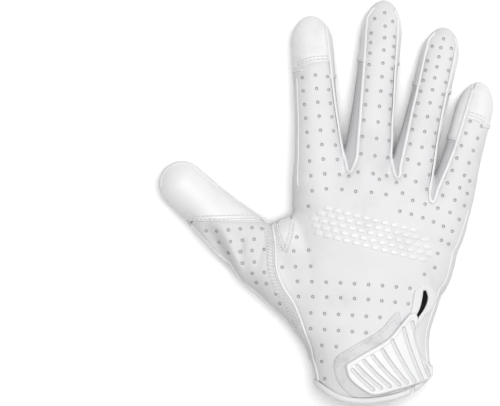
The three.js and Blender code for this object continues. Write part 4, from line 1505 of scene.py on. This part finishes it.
def make_fastener_patch():
    """The patch of loops under the strap tab."""
    under, top = PATCH_HEIGHTS

    def field(x, y, z):
        form = hand(x, y, z)
        skin = smooth_max(form - top, under - form, 0.5)
        return smooth_max(skin, patch_area(x, y), 0.8)
    points, quads = net(field, (-27, -62, 28), (18, -4, 42), 0.5)
    make_object("fastener_patch_loops", points, quads, material(loop_fabric),
                node="fastener_patch", finish="loop_fabric")


def channel_distance(x, y):
    """How far a plan point is from the nearest of the tab's channels."""
    nearest = np.full(np.shape(x), 1e9)
    for start, bend, end in TAB_CHANNELS:
        a, b, c = (np.array(on_tab(*p)) for p in (start, bend, end))
        t = np.linspace(0, 1, 9)[:, None]
        path = a * (1 - t) ** 2 + 2 * b * t * (1 - t) + c * t**2
        for (x0, y0), (x1, y1) in zip(path[:-1], path[1:]):
            dx, dy = x1 - x0, y1 - y0
            s = np.clip(((x - x0) * dx + (y - y0) * dy) / (dx * dx + dy * dy), 0, 1)
            nearest = np.minimum(nearest, (x - x0 - s * dx) ** 2 + (y - y0 - s * dy) ** 2)
    return np.sqrt(nearest)


def make_strap_tab():
    """The moulded tab with a raised rim and sunk channels, drawn down to the hand at its sewn end."""
    depth = size("channel_depth")

    def field(x, y, z):
        form = hand(x, y, z)
        inside = TAB_AREA(x, y)
        rim = TAB_RIM * (smoothstep(inside, -2.6, -1.9) - smoothstep(inside, -0.7, 0.0))
        groove = depth * (1 - smoothstep(channel_distance(x, y), 0.7, 1.15))
        top = TAB_CLEAR + TAB_THICK + rim - groove
        under = TAB_CLEAR - 1.2 * smoothstep(x, 22.0, 29.0)
        skin = smooth_max(form - top, under - form, 0.8)
        return smooth_max(skin, inside, 1.0)
    points, quads = net(field, (-18, -60, 16), (36, -10, 46), 0.42)
    middle = points[quads].mean(1)
    # painted shade: faces on the channels' floors take the darker channel finish
    floor = (channel_distance(*middle[:, :2].T) < 0.95) & (hand(*middle.T) > TAB_CLEAR + 0.6)
    make_object("strap_tab_rubber", points, quads, [material(tab_rubber), material(tab_channel)],
                slots=floor.astype(int), node="strap_tab", finish="tab_rubber")


def rounded_tile(middle, ahead, lean, height):
    """A low tile with rounded corners and a soft edge, on the glove round a plan point."""
    corners = np.linspace(0, 2 * math.pi, 16, endpoint=False) + math.pi / 16
    across, up = (np.sign(turn) * np.abs(turn) ** 0.45 for turn in (np.cos(corners), np.sin(corners)))
    rings = []
    for share, lift in ((1.0, -0.12), (0.97, height - 0.14), (0.86, height - 0.02), (0.45, height)):
        flat = middle + (across[:, None] * ahead * TILE_HALF[0] + up[:, None] * lean * TILE_HALF[1]) * share
        rings.append(follow(flat, lift)[0])
    points = np.vstack([*rings, follow(middle[None, :], height + 0.01)[0]])
    n = len(corners)
    faces = [(r * n + k, r * n + (k + 1) % n, (r + 1) * n + (k + 1) % n, (r + 1) * n + k)
             for r in range(3) for k in range(n)]
    return points, faces + [(3 * n + k, 3 * n + (k + 1) % n, 4 * n) for k in range(n)]


def make_knuckle_print():
    """Low raised tiles over the knuckles, in staggered slanting rows."""
    heap = Heap()
    zone = Region(PRINT_ZONE)
    slant, turn = math.radians(PRINT_SLANT), math.radians(TILE_LEAN)
    ahead = np.array([math.cos(slant), math.sin(slant)])
    lean = np.array([math.sin(turn), math.cos(turn)])
    for row in range(-3, 4):
        for column in range(-12, 13):
            middle = (np.array(PRINT_MIDDLE) + ahead * ((column + 0.5 * (row % 2)) * TILE_STEPS[0])
                      + lean * (row * TILE_STEPS[1]))
            if zone(*middle[:, None])[0] < -1.6:
                heap.add(*rounded_tile(middle, ahead, lean, size("print_height")))
    heap.make("knuckle_print_tiles", material(knuckle_print), "smooth_leather")


# Seams and stitches

def strip_seam(left, right):
    """A whole crotch seam, from one fingertip's inner side to the next fingertip's."""
    one, two = FINGERS[left], FINGERS[right]
    run = crotch_curve(left, right)
    if left in CAP_LENGTH:
        run = np.vstack([strip_side(left, 1, one.length - 5, one.length - CAP_LENGTH[left] + 2), run])
    if right in CAP_LENGTH:
        run = np.vstack([run, strip_side(right, -1, two.length - CAP_LENGTH[right] + 2, two.length - 5)])
    return evenly(run, 1.2)


def kept_inside(run, margin):
    """A plan run moved in from the glove's outline where it comes nearer than a margin."""
    run = np.array(run)
    for _ in range(5):
        run = run - plan_slope(EDGE, *run.T, 0.5) * np.maximum(EDGE(*run.T) + margin, 0)[:, None]
    return evenly(run, 1.2)


def side_seam(name, side, along, start):
    """A seam down a finger's side to the palm, square to the finger, from an angle above the level."""
    finger = FINGERS[name]
    angles = np.linspace(start, -0.12, 9)
    axis = np.tile([*finger.plan(along, 0), float(finger.section(along)[2])], (9, 1))
    rays = np.column_stack([np.outer(np.cos(angles) * side, finger.across), np.sin(angles)])
    return outwards_hit(glove, axis, rays)


def cross_seam(name, side, along):
    """The seam across a fingertip's side band, from the strip to the palm."""
    reach = np.interp(along / FINGERS[name].length, REACH_AT, REACH[name][0 if side < 0 else 1])
    return side_seam(name, side, along, math.acos(min(0.97, reach)))


def ridge(heap, run, radius, lift, sides=8, flat=1.0):
    """A raised edge along a plan run on the glove."""
    points, normals = follow(run, lift)
    heap.add(*tube(points, radius, sides=sides, normals=normals, flat=flat))


def make_strip_piping(heap):
    """Piping round the crotches, and the seams of the fingertips' bands that it meets."""
    for left, right in CROTCH_SEAMS:
        run = kept_inside(offset_run(strip_seam(left, right), 0.5), 0.8)
        ridge(heap, run, size("piping_radius"), 0.0, sides=10, flat=0.62)
        for name, side in ((left, 1), (right, -1)):
            along = FINGERS[name].length - TIP_WRAP
            for step in (-0.55, 0.55):
                heap.add(*tube(cross_seam(name, side, along + step), CROSS_EDGE))


def make_cap_piping(heap):
    """Raised edges along the caps' seams, over the finger and down its outer side."""
    for name, (side, _) in CAP_SEAMS.items():
        run = evenly(cap_seam(name), 0.9)
        for part in unbroken(run, silhouette(*run.T) < -0.5):
            ridge(heap, part, CROSS_EDGE, -0.28, flat=0.8)
        for down in CAP_SIDE_SEAMS[name]:
            along = FINGERS[name].length - CAP_LENGTH[name] - down
            heap.add(*tube(side_seam(name, -side, along, 0.85), SIDE_EDGE))


def make_thumb_piping(heap):
    """A raised edge along the thumb's seam, and down the wrist's side where the seam leaves the outline."""
    angles = np.linspace(1.0, -0.1, 9)
    rays = np.column_stack([-np.cos(angles), -0.15 * np.cos(angles), np.sin(angles)])
    foot = np.tile([*THUMB_SEAM_FOOT, SEAM_HEIGHT], (9, 1))
    heap.add(*tube(outwards_hit(glove, foot, rays), SIDE_EDGE))
    seam = curve(THUMB_SEAM, 1.2)
    seam = kept_inside(seam[(seam[:, 1] > -56) & (silhouette(*seam.T) < 5)], 0.8)
    for part in unbroken(seam, above_cuff(*seam.T) < 0):
        ridge(heap, part, 0.72, 0.1, sides=10, flat=0.8)


def make_piping():
    """Raised edges along the panels' seams."""
    heap = Heap()
    make_strip_piping(heap)
    make_cap_piping(heap)
    make_thumb_piping(heap)
    for run in outer_edges():
        ridge(heap, run, 0.5, -0.1)
    for runs in SIDE_SEAMS.values():
        for run in runs:
            if len(run) > 6:
                heap.add(*tube(evenly(run, 1.2), 0.6))
    heap.make("seam_piping", material(smooth_leather), "smooth_leather")


def outer_edges():
    """Runs just inside the glove's outline: down the little finger's side and down the index finger's."""
    xs, ys, x, y = plan_grid(0.8)
    runs = []
    for loop in contours(xs, ys, EDGE(x, y) + 1.1):
        px, py = loop.T
        little = (px > 24) & (py < 44) & (above_cuff(px, py) < -1) & (px > 47 - (44 - py) * 0.36)
        index = (px < -36) & (py > 56) & (py < 118)
        for keep in (little, index):
            if keep.any():
                runs += [evenly(run, 1.2) for run in runs_of(loop, keep)]
    return runs


def make_seam_folds():
    """The turned-in leather that closes the seams round the web insert and along the thumb's cap."""
    heap = Heap()
    for part in web_insert_sides(0.8):
        for run in unbroken(part, silhouette(*part.T) < -0.6):
            ridge(heap, run, 0.75, -0.35, flat=0.7)
    cap = np.column_stack([np.linspace(-106, -50, 80), np.full(80, THUMB_CAP_Y)])
    for run in unbroken(cap, silhouette(*cap.T) < -0.5):
        ridge(heap, run, 0.7, -0.35, flat=0.8)
    heap.make("seam_folds", material(perforated_leather), "perforated_leather")


def web_insert_sides(spacing):
    """The two long sides of the web insert, each from its top."""
    top_left, top_right, right, foot, left = WEB_INSERT
    return curve([top_left, left, foot], spacing), curve([top_right, right, foot], spacing)


def unbroken(run, keep):
    """The parts of a run where a test holds."""
    parts, part = [], []
    for point, good in zip(run, keep):
        if good:
            part.append(point)
        elif part:
            parts.append(np.array(part))
            part = []
    if part:
        parts.append(np.array(part))
    return [p for p in parts if len(p) > 3]


def offset_run(run, distance):
    """A plan run moved sideways, to its left where the distance is above zero."""
    ahead = unit(np.gradient(run, axis=0))
    return run + np.column_stack([-ahead[:, 1], ahead[:, 0]]) * distance


def ladder_run(heap, seam, start=1.5, end=4.7, pitch=1.9):
    """A band of overlocking beside a seam: slanted rungs between two chained lines."""
    seam = evenly(seam, 0.3)
    inner, outer = offset_run(seam, start), offset_run(seam, end)
    for line in (inner, outer):
        stitch_run(heap, line, 1.5, pitch)
    slip = 4
    for i in range(6, len(seam) - slip - 4, int(pitch / 0.3)):
        share = np.linspace(0.04, 0.96, 6)[:, None]
        rung = inner[i] * (1 - share) + outer[i + slip] * share
        points, normals = follow(rung, 0.18)
        heap.add(*tube(points, RUNG_RADIUS * np.array([0.7, 1, 1, 1, 1, 0.7]), sides=6, normals=normals))


def make_stitches():
    """The stitches of the caps, the thumb's seam and the web insert."""
    heap = Heap()
    for name in CAP_SEAMS:
        seam = evenly(cap_seam(name), 0.5)
        for step in (1.2, 2.9):
            run = seam + FINGERS[name].forward * step
            for part in unbroken(run, silhouette(*run.T) < -1.0):
                stitch_run(heap, part[1:-1], 1.7, 2.2)
    xs = np.linspace(-106, -52, 90)
    for step in (1.1, 3.0):
        run = np.column_stack([xs, THUMB_CAP_Y + step + (xs + 80) * 0.02])
        for part in unbroken(run, silhouette(*run.T) < -1.0):
            stitch_run(heap, part, 1.8, 2.4)
    seam = curve(THUMB_SEAM, 0.8)
    seam = seam[(above_cuff(*seam.T) < -1) & (silhouette(*offset_run(seam, 4.0).T) < -0.6)]
    ladder_run(heap, seam)
    left, right = web_insert_sides(0.6)
    for part in (left, right[::-1]):
        for step in (-1.1, 1.1):
            run = offset_run(part, step)
            for one in unbroken(run, silhouette(*run.T) < -1.2):
                stitch_run(heap, one, 1.0, 1.7)
    heap.make("panel_stitches", material(thread), "smooth_leather")


def on_hand(distance):
    """A way to lay points on the hand's own form, raised by a distance."""
    def raised(x, y, z):
        return hand(x, y, z) - distance

    def surface(plan, lift):
        points = on_top(np.asarray(plan, float), raised)
        normals = unit(gradient(raised, points))
        return points + normals * lift, normals
    return surface


def make_cuff_stitches():
    """The finer stitches on the cuff's binding and round the fastener patch."""
    heap = Heap()
    cuff = curve(CUFF_EDGE, 0.5)
    cuff = cuff[(cuff[:, 0] > -30) & (cuff[:, 0] < 30)]
    stitch_run(heap, offset_run(cuff, 1.1), 1.6, 2.4, share=0.8, lift=0.12, surface=on_hand(0.85))
    xs, ys = np.arange(-30, 20, 0.5), np.arange(-64, -2, 0.5)
    x, y = np.meshgrid(xs, ys, indexing="ij")
    for loop in contours(xs, ys, patch_area(x, y) + 1.8):
        for run in runs_of(loop, TAB_AREA(*loop.T) > 0.6):
            stitch_run(heap, run, 1.6, 2.3, share=0.8, lift=0.12, surface=on_hand(PATCH_HEIGHTS[1]))
    heap.make("cuff_stitches", material(thread), "binding")


def runs_of(loop, keep):
    """The unbroken runs of a closed loop where a test holds."""
    if keep.all():
        return [np.vstack([loop, loop[:1]])]
    first = int(np.argmin(keep))
    loop, keep = np.roll(loop, -first, axis=0), np.roll(keep, -first)
    runs, run = [], []
    for point, good in zip(loop, keep):
        if good:
            run.append(point)
        elif run:
            runs.append(np.array(run))
            run = []
    if run:
        runs.append(np.array(run))
    return [r for r in runs if len(r) > 6]


# Stage

def make_floor(look):
    """A wide pale floor at the height that the glove rests on."""
    mesh = bpy.data.meshes.new("floor")
    count, reach = 24, 3.0
    steps = np.linspace(-reach, reach, count + 1)
    points = [(x, y, 0.0) for x in steps for y in steps]
    n = count + 1
    faces = [(i * n + j, (i + 1) * n + j, (i + 1) * n + j + 1, i * n + j + 1)
             for i in range(count) for j in range(count)]
    mesh.from_pydata(points, [], faces)
    floor = bpy.data.objects.new("floor", mesh)
    bpy.context.scene.collection.objects.link(floor)
    finish = Finish("Pale floor", 0.8, specular=0.2)
    soil = finish.group("Handling marks", soil_group, Patch=2.0, Amount=0.1)
    finish.shade((look.floor_grey,) * 3, (look.floor_grey * 0.99,) * 3, soil["Mask"])
    mesh.materials.append(finish.material)


def make_lights(look):
    """An even pale surrounding, a soft light from above and a weaker one from the side."""
    bpy.context.scene.view_settings.view_transform = "Standard"
    world = bpy.context.scene.world or bpy.data.worlds.new("Studio")
    bpy.context.scene.world = world
    world.use_nodes = True
    background = world.node_tree.nodes["Background"]
    background.inputs["Color"].default_value = (1, 1, 1, 1)
    background.inputs["Strength"].default_value = look.fill
    for name, place, size, power in (
            ("key", (0.05, 0.15, 1.9), 1.2, look.key), ("side", (1.1, 1.0, 1.0), 0.6, look.key * 0.2)):
        light = bpy.data.lights.new(name, "AREA")
        light.shape = "DISK"
        light.size = size
        light.energy = power
        lamp = bpy.data.objects.new(name, light)
        lamp.location = place
        lamp.rotation_euler = (Vector((0, 0.04, 0)) - Vector(place)).to_track_quat("-Z", "Y").to_euler()
        bpy.context.scene.collection.objects.link(lamp)


def make_camera(look):
    """The camera straight above, with a lens that keeps the picture's width at any height."""
    camera = bpy.data.cameras.new("camera")
    camera.sensor_width = 36.0
    camera.lens = camera.sensor_width * (look.camera_height - PICTURE_HEIGHT) / PICTURE_WIDTH
    eye = bpy.data.objects.new("camera", camera)
    eye.location = (*PICTURE_MIDDLE, look.camera_height)
    bpy.context.scene.collection.objects.link(eye)
    bpy.context.scene.camera = eye


# Add-on classes

class GloveColours(bpy.types.PropertyGroup):
    """Display colours of the leather, the trim and the cloth."""

    back_colour: FloatVectorProperty(
        name="Back leather", description="Colour of the perforated leather", subtype="COLOR_GAMMA",
        size=3, min=0, max=1, default=(0.84, 0.84, 0.845))
    trim_colour: FloatVectorProperty(
        name="Trim", description="Colour of the caps, bands, tab, piping, thread and bindings",
        subtype="COLOR_GAMMA", size=3, min=0, max=1, default=(0.885, 0.885, 0.888))
    cloth_colour: FloatVectorProperty(
        name="Gusset cloth", description="Colour of the cloth between the fingers", subtype="COLOR_GAMMA",
        size=3, min=0.1, max=1, default=(0.8, 0.8, 0.81))
    # painted shade: the lining's dark default stands in for the shade inside the glove's hollow
    lining_colour: FloatVectorProperty(
        name="Lining", description="Colour of the cloth inside the glove", subtype="COLOR_GAMMA",
        size=3, min=0.08, max=1, default=(0.3, 0.3, 0.31))


class GloveSizes(bpy.types.PropertyGroup):
    """Sizes of the glove's details."""

    hole_depth: FloatProperty(
        name="Perforation depth", description="How deep the perforations are", default=0.0005,
        min=0.0001, max=0.001, precision=5, unit="LENGTH", subtype="DISTANCE")
    piping_radius: FloatProperty(
        name="Piping radius", description="Half width of the piping round the crotches", default=0.00098,
        min=0.0003, max=0.002, precision=5, unit="LENGTH", subtype="DISTANCE")
    thread_radius: FloatProperty(
        name="Thread radius", description="Half thickness of the sewing thread", default=0.0003,
        min=0.0001, max=0.0006, precision=5, unit="LENGTH", subtype="DISTANCE")
    channel_depth: FloatProperty(
        name="Channel depth", description="How deep the strap tab's channels are", default=0.0012,
        min=0.0001, max=0.0018, precision=5, unit="LENGTH", subtype="DISTANCE")
    print_height: FloatProperty(
        name="Print height", description="How far the knuckle print stands up", default=0.00034,
        min=0.0002, max=0.001, precision=5, unit="LENGTH", subtype="DISTANCE")


class GloveStage(bpy.types.PropertyGroup):
    """The floor, the lights and the camera."""

    floor_grey: FloatProperty(
        name="Floor", description="Display grey of the floor", default=0.98, min=0, max=1)
    fill: FloatProperty(
        name="Fill", description="Strength of the light from all around", default=0.3, min=0)
    key: FloatProperty(
        name="Key", description="Power of the main soft light", default=32.0, min=0, unit="POWER")
    camera_height: FloatProperty(
        name="Camera height", description="How far the camera is above the floor", default=1.4, min=0.3,
        unit="LENGTH", subtype="DISTANCE")


class GLOVE_OT_stage(bpy.types.Operator):
    """Makes the floor, the lights and the camera."""

    bl_idname = "glove.stage"
    bl_label = "Stage"

    def execute(self, context):
        look = context.scene.glove_stage
        make_floor(look)
        make_lights(look)
        make_camera(look)
        return {"FINISHED"}


class GLOVE_OT_back_panel(bpy.types.Operator):
    """Makes the perforated back panel with its finger strips."""

    bl_idname = "glove.back_panel"
    bl_label = "Back panel"

    def execute(self, context):
        make_back_panel()
        return {"FINISHED"}


class GLOVE_OT_thumb_gusset(bpy.types.Operator):
    """Makes the folded gusset over the thumb's root."""

    bl_idname = "glove.thumb_gusset"
    bl_label = "Thumb gusset"

    def execute(self, context):
        make_thumb_gusset()
        return {"FINISHED"}


class GLOVE_OT_thumb_cap(bpy.types.Operator):
    """Makes the thumb's smooth cap."""

    bl_idname = "glove.thumb_cap"
    bl_label = "Thumb cap"

    def execute(self, context):
        make_thumb_cap()
        return {"FINISHED"}


class GLOVE_OT_caps(bpy.types.Operator):
    """Makes the caps of the index and the little finger."""

    bl_idname = "glove.caps"
    bl_label = "Fingertip caps"

    def execute(self, context):
        make_caps()
        return {"FINISHED"}


class GLOVE_OT_gussets(bpy.types.Operator):
    """Makes the strips of cloth between the fingers."""

    bl_idname = "glove.gussets"
    bl_label = "Finger gussets"

    def execute(self, context):
        make_gussets()
        return {"FINISHED"}


class GLOVE_OT_palm(bpy.types.Operator):
    """Makes the palm and the bands round the fingertips."""

    bl_idname = "glove.palm"
    bl_label = "Palm"

    def execute(self, context):
        make_palm()
        make_tip_bands()
        return {"FINISHED"}


class GLOVE_OT_web_insert(bpy.types.Operator):
    """Makes the wedge between thumb and index finger."""

    bl_idname = "glove.web_insert"
    bl_label = "Web insert"

    def execute(self, context):
        make_web_insert()
        return {"FINISHED"}


class GLOVE_OT_cuff_binding(bpy.types.Operator):
    """Makes the tape round the cuff."""

    bl_idname = "glove.cuff_binding"
    bl_label = "Cuff binding"

    def execute(self, context):
        make_cuff_binding()
        return {"FINISHED"}


class GLOVE_OT_vent_binding(bpy.types.Operator):
    """Makes the bound edge of the vent."""

    bl_idname = "glove.vent_binding"
    bl_label = "Vent binding"

    def execute(self, context):
        make_vent_binding()
        return {"FINISHED"}


class GLOVE_OT_fastener_patch(bpy.types.Operator):
    """Makes the patch of loops under the strap tab."""

    bl_idname = "glove.fastener_patch"
    bl_label = "Fastener patch"

    def execute(self, context):
        make_fastener_patch()
        return {"FINISHED"}


class GLOVE_OT_strap_tab(bpy.types.Operator):
    """Makes the moulded strap tab with its channels."""

    bl_idname = "glove.strap_tab"
    bl_label = "Strap tab"

    def execute(self, context):
        make_strap_tab()
        return {"FINISHED"}


class GLOVE_OT_knuckle_print(bpy.types.Operator):
    """Makes the raised tiles over the knuckles."""

    bl_idname = "glove.knuckle_print"
    bl_label = "Knuckle print"

    def execute(self, context):
        make_knuckle_print()
        return {"FINISHED"}


class GLOVE_OT_piping(bpy.types.Operator):
    """Makes the raised edges along the seams, after both perforated panels."""

    bl_idname = "glove.piping"
    bl_label = "Piping"

    def execute(self, context):
        make_piping()
        return {"FINISHED"}


class GLOVE_OT_seam_folds(bpy.types.Operator):
    """Makes the turned-in leather of two seams."""

    bl_idname = "glove.seam_folds"
    bl_label = "Seam folds"

    def execute(self, context):
        make_seam_folds()
        return {"FINISHED"}


class GLOVE_OT_stitches(bpy.types.Operator):
    """Makes the stitches of the panels, the cuff and the patch."""

    bl_idname = "glove.stitches"
    bl_label = "Stitches"

    def execute(self, context):
        make_stitches()
        make_cuff_stitches()
        return {"FINISHED"}


OPERATORS = [
    GLOVE_OT_stage, GLOVE_OT_back_panel, GLOVE_OT_thumb_gusset, GLOVE_OT_thumb_cap, GLOVE_OT_caps,
    GLOVE_OT_gussets, GLOVE_OT_palm, GLOVE_OT_web_insert, GLOVE_OT_cuff_binding,
    GLOVE_OT_vent_binding, GLOVE_OT_fastener_patch, GLOVE_OT_strap_tab, GLOVE_OT_knuckle_print,
    GLOVE_OT_piping, GLOVE_OT_seam_folds, GLOVE_OT_stitches,
]


class GLOVE_PT_panel(bpy.types.Panel):
    """Lists the glove's pieces in the sidebar."""

    bl_idname = "GLOVE_PT_panel"
    bl_label = "Receiver glove"
    bl_space_type = "VIEW_3D"
    bl_region_type = "UI"
    bl_category = "Glove"

    def draw(self, context):
        scene = context.scene
        for group in (scene.glove_colours, scene.glove_sizes, scene.glove_stage):
            for name in group.__annotations__:
                self.layout.prop(group, name)
        for one in OPERATORS:
            self.layout.operator(one.bl_idname)


CLASSES = [GloveColours, GloveSizes, GloveStage, *OPERATORS, GLOVE_PT_panel]


def register():
    for one in CLASSES:
        bpy.utils.register_class(one)
    bpy.types.Scene.glove_colours = PointerProperty(type=GloveColours)
    bpy.types.Scene.glove_sizes = PointerProperty(type=GloveSizes)
    bpy.types.Scene.glove_stage = PointerProperty(type=GloveStage)


def unregister():
    del bpy.types.Scene.glove_colours
    del bpy.types.Scene.glove_sizes
    del bpy.types.Scene.glove_stage
    for one in reversed(CLASSES):
        bpy.utils.unregister_class(one)


def main():
    """Makes the whole glove."""
    register()
    for one in OPERATORS:
        getattr(bpy.ops.glove, one.bl_idname.split(".")[1])()


if __name__ == "__main__":
    main()
